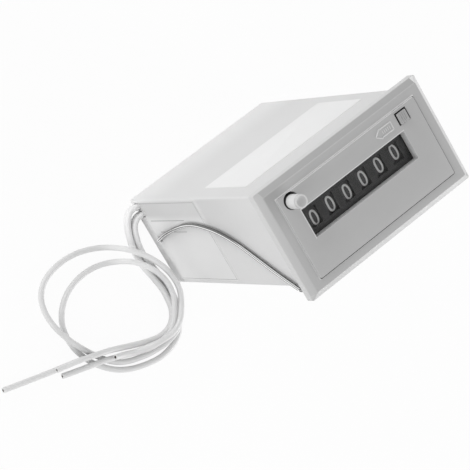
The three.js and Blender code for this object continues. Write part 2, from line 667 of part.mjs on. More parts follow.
function makeWindowLens() {
  const lens = block(windowLeft - lensLap, windowRight + lensLap, windowBottom - lensLap,
    windowTop + lensTopLap, faceBack - lensThickness, faceBack);
  const mesh = addPart('window_lens', lens, 0xf4f4f4, 0.05);
  mesh.material.transparent = true;
  mesh.material.opacity = 0.25;
}

// Figure mask: a dark sheet behind the window with one aperture for each wheel
function makeFigureMask() {
  const sheet = block(windowLeft - lensLap, windowRight + lensLap, windowBottom - lensLap,
    windowTop + lensTopLap, maskBack, faceBack - lensThickness);
  const apertures = [];
  for (let index = 0; index < wheelCount; index += 1) {
    const x = digitX(index);
    apertures.push(block(x - apertureWidth / 2, x + apertureWidth / 2, wheelY - apertureHeight / 2,
      wheelY + apertureHeight / 2, maskBack - overrun, faceBack));
  }
  addPart('figure_mask', cut(sheet, ...apertures), wheelBlack, 0.6);
}

// Reset button: dished cap, retaining flange with one flat and a long stem
function makeResetButton() {
  const top = faceFront + buttonRise;
  const flangeTop = faceBack - flangeBelowPlate;
  const flangeBottom = flangeTop - flangeThickness;
  const profile = [[0, flangeBottom - stemLength], [stemRadius, flangeBottom - stemLength],
    [stemRadius, flangeBottom], [flangeRadius, flangeBottom], [flangeRadius, flangeTop],
    [buttonRadius, flangeTop], [buttonRadius, top - buttonEdge], [buttonRadius - buttonEdge, top],
    [dimpleRadius, top], [dimpleRadius / 2, top - dimpleDepth * 3 / 4], [0, top - dimpleDepth]];
  const reach = flangeRadius + overrun;
  const flat = block(buttonX + buttonRadius, buttonX + reach, buttonY - reach, buttonY + reach,
    flangeBottom - overrun, flangeTop + overrun);
  addPart('reset_button', cut(turnedZ(profile, buttonX, buttonY, 28), flat), buttonWhite, 0.4);
  const springFoot = shelfZ + shelfThickness;
  const length = flangeBottom - springFoot;
  const spring = coilSpring('reset_button_spring', springCoilRadius, springWire, springTurns, length,
    buttonX, buttonY, springFoot);
  addPart('reset_button_spring', spring, steel, 0.3, 0.9);
}

// Lock slide: a square lug in the slot on a plate behind the face plate
function makeLockSlide() {
  const [lockX, lockY] = lockCentre();
  const plateTop = faceBack - lockPlateGap;
  const plateBottom = plateTop - lockPlateThickness;
  const halfPlate = lockSlotWidth / 2 + lockPlateLap;
  const lugTop = lockY - lockKnobDrop + lockKnobHeight / 2;
  const plate = block(lockX - halfPlate, lockX + halfPlate, lugTop - lockPlateGap - lockPlateHeight,
    lugTop - lockPlateGap, plateBottom, plateTop);
  const lug = block(lockX - lockKnobWidth / 2, lockX + lockKnobWidth / 2, lugTop - lockKnobHeight, lugTop,
    plateTop - lockPlateThickness / 2, faceFront + lockRise);
  addPart('lock_slide', join(plate, lug), buttonWhite, 0.45);
}

// Side frames, which carry every shaft
const lowerBarY = -caseInnerHeight / 2 + barInset;
const upperBarY = caseInnerHeight / 2 - barInset;

function makeSideFrames() {
  const corner = [[-frameHalfHeight, chassisZ], [frameHalfHeight, chassisZ]];
  const leftOutline = polygon([...corner, [frameHalfHeight, cornerCutZ], [cornerCutY, cornerCutZ],
    [cornerCutY, frameTopZ], [-frameHalfHeight, frameTopZ]]);
  const rightOutline = polygon([...corner, [frameHalfHeight, frameTopZ], [-frameHalfHeight, frameTopZ]]);
  const places = [['left_side_frame', leftOutline, leftFrameX],
    ['right_side_frame', rightOutline, rightFrameX]];
  for (const [name, outline, x] of places) {
    const plate = prismX(outline, x, x + frameThickness);
    const hole = (radius, y, z) => rodX(radius + runGap, x - overrun, x + frameThickness + overrun, y, z);
    const holes = [hole(wheelShaftRadius, wheelY, wheelZ), hole(pinionShaftRadius, pinionY, pinionZ),
      hole(combJournalRadius, combY, combZ), hole(armaturePinRadius, armatureY, armatureZ),
      hole(barSpigotRadius, upperBarY, upperBarZ), hole(barSpigotRadius, lowerBarY, lowerBarZ)];
    addPart(name, cut(plate, ...holes), steel, 0.45, 0.9);
  }
}

function makeFrameBars() {
  const left = leftFrameX;
  const right = rightFrameX + frameThickness;
  const places = [['upper_frame_bar', upperBarY, upperBarZ], ['lower_frame_bar', lowerBarY, lowerBarZ]];
  for (const [name, y, z] of places) {
    const profile = [[0, left], [barSpigotRadius, left], [barSpigotRadius, frameInnerX],
      [barRadius, frameInnerX], [barRadius, rightFrameX], [barSpigotRadius, rightFrameX],
      [barSpigotRadius, right], [0, right]];
    addPart(name, turnedX(profile, y, z, 16), steel, 0.4, 0.9);
  }
}

// A pin through both side frames with a head on each outer face
function headedPin(name, radius, headRadius, y, z) {
  const left = leftFrameX;
  const right = rightFrameX + frameThickness;
  const profile = [[0, left - shaftHeadLength], [headRadius, left - shaftHeadLength], [headRadius, left],
    [radius, left], [radius, right], [headRadius, right], [headRadius, right + shaftHeadLength],
    [0, right + shaftHeadLength]];
  addPart(name, turnedX(profile, y, z, 16), steel, 0.3, 0.9);
}

// Number wheels: drum, web and hub turned in one, with a gear on the right and a carry disc on the left
function makeNumberWheels() {
  const bore = wheelShaftRadius + runGap;
  for (let index = 0; index < wheelCount; index += 1) {
    const x = digitX(index);
    const left = x - drumLeft;
    const right = x + drumRight;
    const webLeft = right - wheelWeb;
    const profile = [[bore, left - carryWidth], [carryDiscRadius, left - carryWidth], [carryDiscRadius, left],
      [wheelHubRadius, left], [wheelHubRadius, webLeft], [wheelRadius - wheelRim, webLeft],
      [wheelRadius - wheelRim, left], [wheelRadius, left], [wheelRadius, right], [bore, right],
      [bore, left - carryWidth]];
    const parts = [turnedX(profile, wheelY, wheelZ, wheelSegments)];
    for (const side of [-1, 1]) {
      const tooth = block(left - carryWidth, left, -carryToothWidth / 2, carryToothWidth / 2,
        carryDiscRadius - gearRoot, carryToothRadius);
      tooth.rotateX(THREE.MathUtils.degToRad(side * carryToothAngle));
      parts.push(tooth.translate(0, wheelY, wheelZ));
    }
    if (index < wheelCount - 1) {
      const shape = toothedShape(gearTeeth, gearRadius - toothDedendum, gearRadius + toothAddendum,
        pinionAngle - Math.PI / gearTeeth);
      const gear = prismX(shape, right - gearRoot, right + gearWidth).translate(0, wheelY, wheelZ);
      const hole = rodX(bore, right - overrun, right + gearWidth + overrun, wheelY, wheelZ, wheelSegments);
      parts.push(cut(gear, hole));
    }
    addPart(`number_wheel_${index + 1}`, join(...parts), wheelBlack, 0.4);
  }
}

// Transfer pinions: each reaches from one wheel's gear to its neighbour's carry disc
function makePinions() {
  for (let index = 0; index < wheelCount - 1; index += 1) {
    const left = digitX(index) + drumRight + pinionSideGap;
    const right = digitX(index + 1) - drumLeft - pinionSideGap;
    const shape = toothedShape(pinionTeeth, pinionRadius - toothDedendum, pinionRadius + toothAddendum,
      pinionAngle + Math.PI);
    const gear = prismX(shape, left, right);
    const hole = rodX(pinionShaftRadius + runGap, left - overrun, right + overrun, 0, 0, 16);
    const geometry = cut(gear, hole).translate(0, pinionY, pinionZ);
    addPart(`transfer_pinion_${index + 1}`, geometry, nylon, 0.5);
  }
}

// Star wheel on the units wheel's hub, and the fork that steps it
function makeEscapeWheel() {
  const unitsRight = lastDigitX + drumRight;
  const star = toothedShape(escapeTeeth, escapeRadius - escapeToothDepth, escapeRadius, Math.PI / 2);
  const teeth = prismX(star, escapeX, escapeX + escapeWidth).translate(0, wheelY, wheelZ);
  const hub = rodX(escapeHubRadius, unitsRight, rightFrameX - runGap, wheelY, wheelZ, 20);
  const bore = rodX(wheelShaftRadius + runGap, unitsRight - overrun, rightFrameX + overrun, wheelY, wheelZ);
  addPart('escape_wheel', cut(join(teeth, hub), bore), brass, 0.35, 0.9);
}

function makeArmature() {
  const forkLeft = escapeX + (escapeWidth - forkThickness) / 2;
  const hub = rodX(armatureHubRadius, -armatureWidth / 2, forkLeft + forkThickness, armatureY, armatureZ, 20);
  const webBack = armatureY + armatureWebInset;
  const web = block(-armatureWidth / 2, armatureWidth / 2, webBack, webBack + armatureWebWidth, plateBottomZ,
    armatureZ);
  const plate = block(-armatureWidth / 2, armatureWidth / 2, webBack, webBack + armatureReach, plateBottomZ,
    plateBottomZ + armatureThickness);
  const reach = Math.hypot(wheelY - armatureY, wheelZ - armatureZ);
  const halfSwing = THREE.MathUtils.degToRad(armatureSwing / 2);
  const nibFace = escapeRadius + runGap + reach * Math.sin(halfSwing);
  const jawOuter = nibFace + jawNib + jawThickness;
  const barTop = reach - escapeRadius - jawReach / 2;
  const halfStem = forkStemWidth / 2;
  const tines = reach + jawReach / 2;
  const fork = polygon([[-halfStem, 0], [halfStem, 0], [halfStem, barTop - forkBar],
    [jawOuter, barTop - forkBar], [jawOuter, tines], [nibFace, tines],
    [nibFace + jawNib, reach - jawReach / 2],
    [nibFace + jawNib, barTop], [-nibFace - jawNib, barTop], [-nibFace - jawNib, reach - jawReach / 2],
    [-nibFace, tines], [-jawOuter, tines], [-jawOuter, barTop - forkBar], [-halfStem, barTop - forkBar]]);
  const lean = Math.atan2(wheelZ - armatureZ, wheelY - armatureY) - Math.PI / 2 + halfSwing;
  const blade = prismX(fork, forkLeft, forkLeft + forkThickness).rotateX(lean)
    .translate(0, armatureY, armatureZ);
  const bore = rodX(armaturePinRadius + runGap, -armatureWidth, escapeX + escapeWidth + overrun, armatureY,
    armatureZ, 16);
  addPart('armature', cut(join(hub, web, plate, blade), bore), steel, 0.45, 0.85);
}

// Armature return spring: an even coil round the armature's pin
function makeReturnSpring() {
  const length = returnSpringLength;
  const curve = new SpringCurve(returnSpringRadius, returnSpringTurns, length, returnSpringWire);
  const geometry = tubeAlong(curve, returnSpringWire / 2, 5, 8 * returnSpringTurns);
  const left = -armatureWidth / 2 - returnSpringGap - length;
  console.log('armature_spring least gap between turns',
    ((length - returnSpringWire) / returnSpringTurns - returnSpringWire).toFixed(2));
  geometry.applyMatrix4(alongX).translate(left, armatureY, armatureZ);
  addPart('armature_spring', geometry, steel, 0.3, 0.9);
}

// Reset comb: a rocking bar with one finger under each wheel and an arm under the button's stem
function makeResetComb() {
  const armRight = leftFrameX - pinionSideGap * 2;
  const armLeft = armRight - combArmThickness;
  const profile = [[0, armLeft], [combJournalRadius, armLeft], [combJournalRadius, frameInnerX + seatGap],
    [combBarRadius, frameInnerX + seatGap], [combBarRadius, rightFrameX - seatGap],
    [combJournalRadius, rightFrameX - seatGap], [combJournalRadius, rightFrameX + frameThickness],
    [0, rightFrameX + frameThickness]];
  const parts = [turnedX(profile, 0, 0, 16)];
  for (let index = 0; index < wheelCount; index += 1) {
    const x = digitX(index);
    parts.push(block(x - combFingerWidth / 2, x + combFingerWidth / 2, -combFingerThickness / 2,
      combFingerThickness / 2, 0, combFingerLength));
  }
  const armReach = buttonY - combY + stemRadius;
  const arm = block(armLeft, armRight, 0, armReach, -combArmHeight / 2, combArmHeight / 2);
  parts.push(arm.rotateX(THREE.MathUtils.degToRad(combArmTilt)));
  addPart('reset_comb', join(...parts).translate(0, combY, combZ), nylon, 0.5);
}

// Electromagnet: yoke plate and limb, core, bobbin and winding
function makeMagnet() {
  const base = block(frameInnerX, rightFrameX, -frameHalfHeight, yokeBaseTop, chassisZ, yokeTopZ);
  const limb = block(-yokeWidth / 2, yokeWidth / 2, -frameHalfHeight, -frameHalfHeight + yokeThickness,
    chassisZ, armatureZ - armatureHubRadius - yokeLimbGap);
  const coreHole = rodZ(coreSpigotRadius + runGap, chassisZ - overrun, yokeTopZ + overrun, 0, magnetY, 20);
  addPart('yoke', cut(join(base, limb), coreHole), steel, 0.5, 0.85);
  const core = [[0, chassisZ], [coreSpigotRadius, chassisZ], [coreSpigotRadius, yokeTopZ],
    [coreRadius, yokeTopZ], [coreRadius, coreTopZ], [0, coreTopZ]];
  addPart('core', turnedZ(core, 0, magnetY, 20), steel, 0.4, 0.9);
  const bobbinTop = coreTopZ - bobbinBelowCore;
  const tubeInner = coreRadius + runGap;
  const tubeOuter = tubeInner + bobbinTube;
  const bobbin = [[tubeInner, yokeTopZ], [bobbinRadius, yokeTopZ], [bobbinRadius, yokeTopZ + bobbinFlange],
    [tubeOuter, yokeTopZ + bobbinFlange], [tubeOuter, bobbinTop - bobbinFlange],
    [bobbinRadius, bobbinTop - bobbinFlange], [bobbinRadius, bobbinTop], [tubeInner, bobbinTop],
    [tubeInner, yokeTopZ]];
  addPart('coil_bobbin', turnedZ(bobbin, 0, magnetY, 28), nylon, 0.5);
  const low = yokeTopZ + bobbinFlange;
  const high = bobbinTop - bobbinFlange;
  const winding = [[tubeOuter + bobbinInset, low], [bobbinRadius - windingInset, low],
    [bobbinRadius - windingInset, high], [tubeOuter + bobbinInset, high], [tubeOuter + bobbinInset, low]];
  addPart('coil_winding', turnedZ(winding, 0, magnetY, 28), copper, 0.4, 0.6);
}

// Lead grip: fills the cover's cut-out and lies over its edge
function makeLeadGrip() {
  const left = leadInnerX + runGap;
  const right = left + gripLength;
  const bottom = longLeadsY - outletWidth / 2 + seatGap;
  const top = caseInnerHeight / 2 - seatGap;
  const stem = block(left, right, bottom, top, 0, gripHeight);
  const flange = block(left, right + gripFlange, bottom - gripFlange, top, coverThickness,
    coverThickness + gripFlangeThickness);
  addPart('lead_grip', join(stem, flange), caseGrey, 0.5);
}

// A curve through given points with one tube ring at each point
class PointCurve extends THREE.Curve {
  constructor(points) {
    super();
    this.points = points;
  }

  getPoint(t, target = new THREE.Vector3()) {
    const place = t * (this.points.length - 1);
    const before = Math.min(Math.floor(place), this.points.length - 2);
    return target.lerpVectors(this.points[before], this.points[before + 1], place - before);
  }

  getTangent(t, target = new THREE.Vector3()) {
    const last = this.points.length - 1;
    const here = Math.round(t * last);
    const before = Math.max(here - 1, 0);
    const after = Math.min(here + 1, last);
    return target.subVectors(this.points[after], this.points[before]).normalize();
  }

  getUtoTmapping(u) {
    return u;
  }
}

// Wire mounting spring: a bowed arm on each side and a crossbar under the case
const wireX = caseWidth / 2 + wireSideGap + wireRadius;
const wireBarY = -caseHeight / 2 - wireBarBelowCase;
const wireBarZ = caseFront - wireBarBehindBezel;
const wireArm = wireArmShares.map((share, index) => [
  wirePivotY + share * (wireBarY - wirePivotY) + wireArmBows[index],
  wirePivotZ + share * (wireBarZ - wirePivotZ)]);

function makeMountingSpring() {
  const bend = wireBend;
  const cut45 = bend * (1 - Math.SQRT1_2);
  const innerX = caseInnerWidth / 2 - wireInnerReach;
  const [firstY, firstZ] = wireArm[0];
  const firstReach = Math.hypot(firstY - wirePivotY, firstZ - wirePivotZ);
  const [lastY, lastZ] = wireArm[wireArm.length - 1];
  const lastReach = Math.hypot(lastY - wireBarY, lastZ - wireBarZ);
  const armStart = [(firstY - wirePivotY) / firstReach, (firstZ - wirePivotZ) / firstReach];
  const armEnd = [(lastY - wireBarY) / lastReach, (lastZ - wireBarZ) / lastReach];
  const half = [[innerX, wirePivotY, wirePivotZ], [wireX - bend, wirePivotY, wirePivotZ],
    [wireX - cut45, wirePivotY + armStart[0] * cut45, wirePivotZ + armStart[1] * cut45],
    [wireX, wirePivotY + armStart[0] * bend, wirePivotZ + armStart[1] * bend]];
  const sidePoints = [[wirePivotY + armStart[0] * bend, wirePivotZ + armStart[1] * bend], ...wireArm,
    [wireBarY + armEnd[0] * bend, wireBarZ + armEnd[1] * bend]];
  const spline = new THREE.CatmullRomCurve3(sidePoints.map(([y, z]) => new THREE.Vector3(wireX, y, z)));
  for (const point of spline.getSpacedPoints(26).slice(1)) {
    half.push([point.x, point.y, point.z]);
  }
  half.push([wireX - cut45, wireBarY + armEnd[0] * cut45, wireBarZ + armEnd[1] * cut45]);
  half.push([wireX - bend, wireBarY, wireBarZ]);
  const right = half.map(([x, y, z]) => new THREE.Vector3(x, y, z));
  const left = half.map(([x, y, z]) => new THREE.Vector3(-x, y, z)).reverse();
  const points = [...right, new THREE.Vector3(0, wireBarY, wireBarZ), ...left];
  const geometry = tubeAlong(new PointCurve(points), wireRadius, 8, points.length - 1);
  addPart('mounting_spring', geometry, 0xc8ccd0, 0.25, 0.95);
}

// Leads: each one tube from the grip to its cut end
function makeLead(name, route, steps) {
  const lowest = leadDiameter / 2 + leadFloorGap;
  const spline = new THREE.CatmullRomCurve3(route.map(([x, y, z]) => new THREE.Vector3(x, y, z)));
  spline.arcLengthDivisions = 1000;
  const points = spline.getSpacedPoints(steps);
  for (const point of points) {
    point.z = Math.max(point.z, lowest);
  }
  addPart(name, tubeAlong(new PointCurve(points), leadDiameter / 2, 8, steps), leadWhite, 0.5);
}

makeCase();
makeRearCover();
makeRearScrews();
makeBezel();
makeFacePlate();
makeWindowLens();
makeFigureMask();
makeResetButton();
makeLockSlide();
makeSideFrames();
makeFrameBars();
headedPin('wheel_shaft', wheelShaftRadius, shaftHeadRadius, wheelY, wheelZ);
makeNumberWheels();
headedPin('pinion_shaft', pinionShaftRadius, pinionHubRadius, pinionY, pinionZ);
makePinions();
makeEscapeWheel();
makeArmature();
headedPin('armature_pin', armaturePinRadius, armaturePinHead, armatureY, armatureZ);
makeReturnSpring();
makeResetComb();
makeMagnet();
makeLeadGrip();
makeMountingSpring();
makeLead('lead_1', lowerShortRoute, shortLeadSteps);
makeLead('lead_2', upperShortRoute, shortLeadSteps);
makeLead('lead_3', innerLoopRoute, longLeadSteps);
makeLead('lead_4', outerLoopRoute, longLeadSteps);

export default counter;
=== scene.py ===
"""A panel-mount electromagnetic counter, dressed round its CAD frame.

X is the reading direction, Y the face's up and Z out of the front, with the rear at Z = 0.
Sizes are in millimetres, but the camera and the lamps are placed in metres. Pieces are
modelled in millimetres and brought to metres by fit_out; the leads and the mounting spring
are drawn in metres straight away.
"""

import math

import bpy
from mathutils import Matrix, Vector


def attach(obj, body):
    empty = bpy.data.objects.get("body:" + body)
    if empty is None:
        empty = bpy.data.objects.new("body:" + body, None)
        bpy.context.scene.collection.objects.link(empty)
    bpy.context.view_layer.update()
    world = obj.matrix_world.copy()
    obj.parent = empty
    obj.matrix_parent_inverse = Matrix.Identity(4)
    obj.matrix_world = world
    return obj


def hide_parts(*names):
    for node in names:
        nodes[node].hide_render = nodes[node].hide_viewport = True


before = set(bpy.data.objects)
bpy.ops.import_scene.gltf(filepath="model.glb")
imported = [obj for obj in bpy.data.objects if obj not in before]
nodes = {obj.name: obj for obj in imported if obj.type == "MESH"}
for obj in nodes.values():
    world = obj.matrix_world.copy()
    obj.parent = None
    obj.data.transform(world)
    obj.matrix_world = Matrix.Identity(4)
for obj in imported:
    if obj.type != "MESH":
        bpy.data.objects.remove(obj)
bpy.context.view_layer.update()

MM = 0.001
X, Y, Z = 0, 1, 2

# Half widths and half heights, and heights over the rear face
BEZEL_X, BEZEL_Y, BEZEL_FRONT = 30.0, 16.5, 80.0
BEZEL_SLOPE, BEZEL_INSET = 1.6, 1.8
CASE_X, CASE_Y, CASE_FRONT = 26.7, 14.4, 76.0
CASE_WALL = 1.6
COLLAR_X, COLLAR_Y = 24.9, 12.6
BEZEL_INNER_X, BEZEL_INNER_Y = 23.7, 11.15
PLATE_X, PLATE_Y = 25.45, 12.25
PLATE_REAR, PLATE_BACK, PLATE_FRONT = 77.2, 77.9, 80.3
PLATE_WALL = 1.2
SEAM_OPEN, SEAM_CLOSED = 0.27, 0.04

# Left, right, bottom and top
WINDOW = (-20.55, 17.8, -2.5, 6.1)
LOCK_SLOT = (17.6, 21.75, 7.7, 11.45)
LOCK_LUG = (18.125, 21.225, 7.85, 11.0)

# Centres on the face, or (Y, Z) of what runs along X. The button's hole lies a little
# up and to the left of its axis, which gives the dark ring round it its shape.
BUTTON = (-21.55, 9.4)
BUTTON_HOLE = (-21.65, 9.74)
PIVOT = (0.9, 4.9)
CROSSBAR = (-15.1, 70.9)

BUTTON_TOP = 85.0
BUTTON_HOLE_RADIUS = 2.4
FLANGE_ROOM_RADIUS = 2.95
OUTLETS = ((10.95, 13.25), (8.45, 10.75))
OUTLET_TOP = 4.1
LABEL_RISE, LABEL_SUNK = 0.08, 0.01
WIRE_RADIUS, WIRE_GAP, WIRE_BEND = 0.6, 0.25, 1.3
LEAD_DIAMETER, CORE_RADIUS = 1.7, 0.40

WHEEL_Y, WHEEL_Z, WHEEL_RADIUS = 1.6, 67.7, 9.0
FIRST_FIGURE_X, FIGURE_PITCH = -16.43, 6.12
FIGURE_DRIFT = [-0.55, -0.23, -0.49, -0.22, 0.02, 0.25]

# Heights that cutting tools start from and run out to, clear of the piece they cut
TOOL_REAR, TOOL_FRONT = 76.0, 82.0

# How far apart two places may lie and count as one, and how finely lines are drawn
SAME = 1e-3
OUTLINE_STEP = 0.25
CURVE_TICKS, LEAD_STEPS, ARM_STEPS, BEND_STEPS = 24, 240, 90, 8
SMOOTH_ANGLE = math.radians(40)


# ---------------------------------------------------------------- shader maths
class Socket:
    """One shader output that takes part in arithmetic."""

    def __init__(self, finish, link):
        self.finish = finish
        self.link = link

    def maths(self, operation, *values):
        inputs = dict(enumerate(values))
        return self.finish.node("ShaderNodeMath", {"operation": operation}, inputs)

    def __add__(self, other):
        return self.maths("ADD", self, other)

    def __sub__(self, other):
        return self.maths("SUBTRACT", self, other)

    def __rsub__(self, other):
        return self.maths("SUBTRACT", other, self)

    def __mul__(self, other):
        return self.maths("MULTIPLY", self, other)

    __radd__ = __add__
    __rmul__ = __mul__

    def clamp(self):
        return self.finish.node("ShaderNodeClamp", {}, {0: self})


class Finish:
    """A node tree being built, for a material or for the world."""

    def __init__(self, name, owner=None):
        self.owner = owner or bpy.data.materials.new(name)
        self.owner.use_nodes = True
        self.tree = self.owner.node_tree
        self.tree.nodes.clear()

    def node(self, kind, settings=None, inputs=None, out=0):
        """Add a node: its settings first, then the values or links of its inputs."""
        made = self.tree.nodes.new(kind)
        for key, value in (settings or {}).items():
            setattr(made, key, value)
        for key, value in (inputs or {}).items():
            if isinstance(value, Socket):
                self.tree.links.new(value.link, made.inputs[key])
            else:
                made.inputs[key].default_value = value
        return Socket(self, made.outputs[out]) if made.outputs else None

    def place(self):
        return self.node("ShaderNodeTexCoord", out="Object")

    def noise(self, scale, detail, stretch=(1, 1, 1)):
        spot = self.node("ShaderNodeMapping", {}, {"Vector": self.place(), "Scale": stretch})
        return self.node("ShaderNodeTexNoise", {}, {
            "Vector": spot, "Scale": scale, "Detail": detail})

    def blend(self, factor, first, second):
        return self.node(
            "ShaderNodeMix", {"data_type": "RGBA"}, {0: factor, 6: first, 7: second}, 2)

    def along(self, axis, low, high):
        """A soft step on one axis: 0 at low and 1 at high, which may lie either way."""
        place = self.node("ShaderNodeSeparateXYZ", {}, {0: self.place()}, axis)
        return self.node("ShaderNodeMapRange", {"interpolation_type": "SMOOTHSTEP"}, {
            "Value": place, "From Min": low * MM, "From Max": high * MM})

    def zoned(self, color, zones):
        """Paint light and shade over parts of a surface, each zone a shade and the steps that
        bound it.
        """
        for shade, steps in zones:
            share = self.along(*steps[0])
            for step in steps[1:]:
                share = share * self.along(*step)
            color = self.blend(share, color, grey(shade))
        return color

    def bump(self, height, depth):
        return self.node("ShaderNodeBump", {}, {"Height": height, "Distance": depth * MM})

    def surface(self, **inputs):
        named = {key.replace("_", " "): value for key, value in inputs.items()}
        return self.node("ShaderNodeBsdfPrincipled", {}, named)

    def done(self, shader, kind="ShaderNodeOutputMaterial"):
        self.node(kind, {}, {"Surface": shader})
        return self.owner


def grey(level):
    return (level, level, level, 1)


# ---------------------------------------------------------------- finishes
def moulded(name, level, roughness, grain, spread, zones=()):
    """Moulded plastic: faint flow marks, a fine grain and a varying gloss."""
    look = Finish(name)
    flow = look.noise(70, 3.0, (1, 1, 0.35))
    cloud = look.noise(260, 2.0)
    fine = look.noise(2600, 2.0)
    tone = (flow * 0.6 + cloud * 0.4 - 0.5) * 2.4 + 0.5
    color = look.blend(tone.clamp(), grey(level * (1 - spread)), grey(level * (1 + spread)))
    return look.done(look.surface(
        Base_Color=look.zoned(color, zones),
        Roughness=(cloud - 0.5) * 0.16 + (fine - 0.5) * 0.08 + roughness,
        Normal=look.bump(fine, grain)))


def steel_look(name, level, roughness, stretch, depth, zones=()):
    """Bare metal with drawn or brushed marks and slight tarnish."""
    look = Finish(name)
    marks = look.noise(900, 3.0, stretch)
    tarnish = look.noise(120, 3.0)
    color = look.blend(tarnish, grey(level * 0.82), grey(level * 1.1))
    return look.done(look.surface(
        Base_Color=look.zoned(color, zones), Metallic=1.0,
        Roughness=(marks - 0.5) * 0.2 + roughness,
        Normal=look.bump(marks, depth)))


def tinted_metal(name, color, roughness, stretch=(1, 1, 1), scale=700):
    """Brass or enamelled copper: a colour that darkens in places."""
    look = Finish(name)
    marks = look.noise(scale, 3.0, stretch)
    patina = look.noise(150, 3.0)
    dark = tuple(value * 0.7 for value in color) + (1,)
    return look.done(look.surface(
        Base_Color=look.blend(patina, dark, tuple(color) + (1,)), Metallic=0.9,
        Roughness=(marks - 0.5) * 0.25 + roughness,
        Normal=look.bump(marks, 0.02)))


def window_look(name):
    """Clear sheet: seen through, with a reflection that grows at a slant and a faint haze."""
    look = Finish(name)
    haze = look.noise(180, 3.0)
    clear = look.node("ShaderNodeBsdfTransparent", {}, {"Color": grey(0.97)})
    film = look.surface(Base_Color=grey(0.5), Roughness=haze * 0.06 + 0.03)
    slant = look.node("ShaderNodeFresnel", {}, {"IOR": 1.45})
    veil = (slant * 0.35 + haze * 0.01).clamp()
    return look.done(look.node("ShaderNodeMixShader", {}, {0: veil, 1: clear, 2: film}))


def label_look(name, level, roughness, zones=(), band=None):
    """Film label: slight mottling and an orange-peel gloss.

    A band is (start, end, depth): from start to end on Y the film is painted darker by that
    depth, as a painted reflection.
    """
    look = Finish(name)
    mottle = look.noise(90, 3.0)
    peel = look.noise(900, 2.0)
    color = look.zoned(look.blend(mottle, grey(level * 0.985), grey(level * 1.015)), zones)
    if band:
        start, end, depth = band
        color = look.blend(look.along(Y, start, end) * depth, color, grey(level * 0.75))
    return look.done(look.surface(
        Base_Color=color, Roughness=(peel - 0.5) * 0.1 + roughness, Coat_Weight=0.15,
        Normal=look.bump(peel, 0.004)))


def sleeve_look(name, level, zones=()):
    """Soft insulation: faint ripples and a waxy gloss."""
    look = Finish(name)
    ripple = look.noise(420, 2.0)
    mottle = look.noise(110, 3.0)
    color = look.blend(mottle, grey(level * 0.97), grey(level * 1.03))
    return look.done(look.surface(
        Base_Color=look.zoned(color, zones),
        Roughness=(ripple - 0.5) * 0.14 + 0.38, Coat_Weight=0.12,
        Subsurface_Weight=0.3, Subsurface_Radius=(1.0, 1.0, 1.0), Subsurface_Scale=1.4 * MM,
        Normal=look.bump(ripple, 0.012)))


# Steps that several zones share
LEFT_SIDE = (X, -26.5, -26.65)
BEZEL_RIM = (Z, 78.4, 78.6)
BEZEL_RIGHT = (X, 28.1, 28.3)
BEZEL_FLAT = (Z, 79.7, 79.95)
SEAM_LIP = (Z, 79.6, 79.8)
WINDOW_HEIGHT = [(Y, -2.8, -2.65), (Y, 6.4, 6.25)]
WINDOW_WIDTH = [(X, -20.85, -20.7), (X, 18.1, 17.95)]

CASE = moulded("case moulding", 0.73, 0.48, 0.010, 0.015, zones=[
    (0.86, [(Z, 22.0, 1.0)]),                                       # painted light towards the rear, against the shade near the floor
    (0.96, [(Z, 4.4, 3.4), LEFT_SIDE]),                             # painted light on the rear margin of the left side, which the leads shade
    (0.66, [(Z, 68.0, 44.0), (Y, -4.0, 4.0), LEFT_SIDE, (Z, 38.0, 40.0)]),  # painted shade on the left side, before the label
])
# The bezel's slopes and front are painted lighter or darker by how light falls on them
BEZEL = moulded("bezel moulding", 0.66, 0.46, 0.010, 0.015, zones=[
    (0.47, [(Y, 14.8, 15.0), BEZEL_RIM]),                           # painted shade on the upper slope
    (0.79, [BEZEL_RIGHT, BEZEL_RIM]),                               # painted light on the right slope
    (0.90, [BEZEL_RIGHT, BEZEL_RIM, (Y, -2.0, 14.0)]),              # painted light on the right slope, growing upwards
    (0.57, [(X, -28.1, -28.3), BEZEL_RIM]),                         # painted shade on the left slope
    (0.61, [(Y, -14.8, -15.0), BEZEL_RIM]),                         # painted shade on the lower slope
    (0.56, [BEZEL_FLAT]),                                           # painted shade on the flat front
    (0.47, [(Y, 1.0, 14.0), (X, -19.0, -25.0), BEZEL_FLAT]),        # painted shade on its upper left corner
    (0.12, [(X, -25.75, -25.6), (X, 25.95, 25.8),                   # painted shade on the walls of the seam
            (Y, -12.75, -12.6), (Y, 12.5, 12.35), (Z, 79.98, 79.85)]),
    (0.85, [(Y, 12.15, 12.25), (Y, 12.75, 12.55),                   # painted highlight on the upper lip of the seam
            (X, -25.9, -25.6), (X, 25.9, 25.6), SEAM_LIP]),
    (0.74, [(X, -25.85, -25.7), (X, -25.35, -25.45),                # painted highlight on the left lip of the seam
            (Y, 12.5, 12.3), (Y, -12.6, -12.4), SEAM_LIP]),
])
PLATE = moulded("face plate sheet", 0.55, 0.42, 0.006, 0.015, zones=[
    (0.62, [(X, -25.2, -25.35)]),                                   # painted highlight along the left edge
    (0.78, [(Y, 12.0, 12.15), (X, -22.5, -21.0)]),                  # painted highlight along the upper edge past the button
    (0.59, [*WINDOW_WIDTH, *WINDOW_HEIGHT]),                        # painted highlight round the frame of the window
    # painted highlights on the window's left wall, then on its top wall
    (0.80, [(X, -20.9, -20.75), (X, -20.45, -20.55), *WINDOW_HEIGHT]),
    (0.80, [(Y, 6.0, 6.1), (Y, 6.45, 6.3), *WINDOW_WIDTH]),
    (0.10, [(X, 17.2, 17.5), (X, 22.2, 21.9), (Y, 7.3, 7.6), (Z, 80.2, 79.9)]),  # painted shade in the lock slot
])
LUG = moulded("lock slide moulding", 0.49, 0.42, 0.006, 0.02, zones=[
    (0.08, [(Z, 80.35, 80.1)]),                                     # painted shade below the plate's front
])
RELIEF = moulded("raised mark", 0.74, 0.42, 0.004, 0.02)
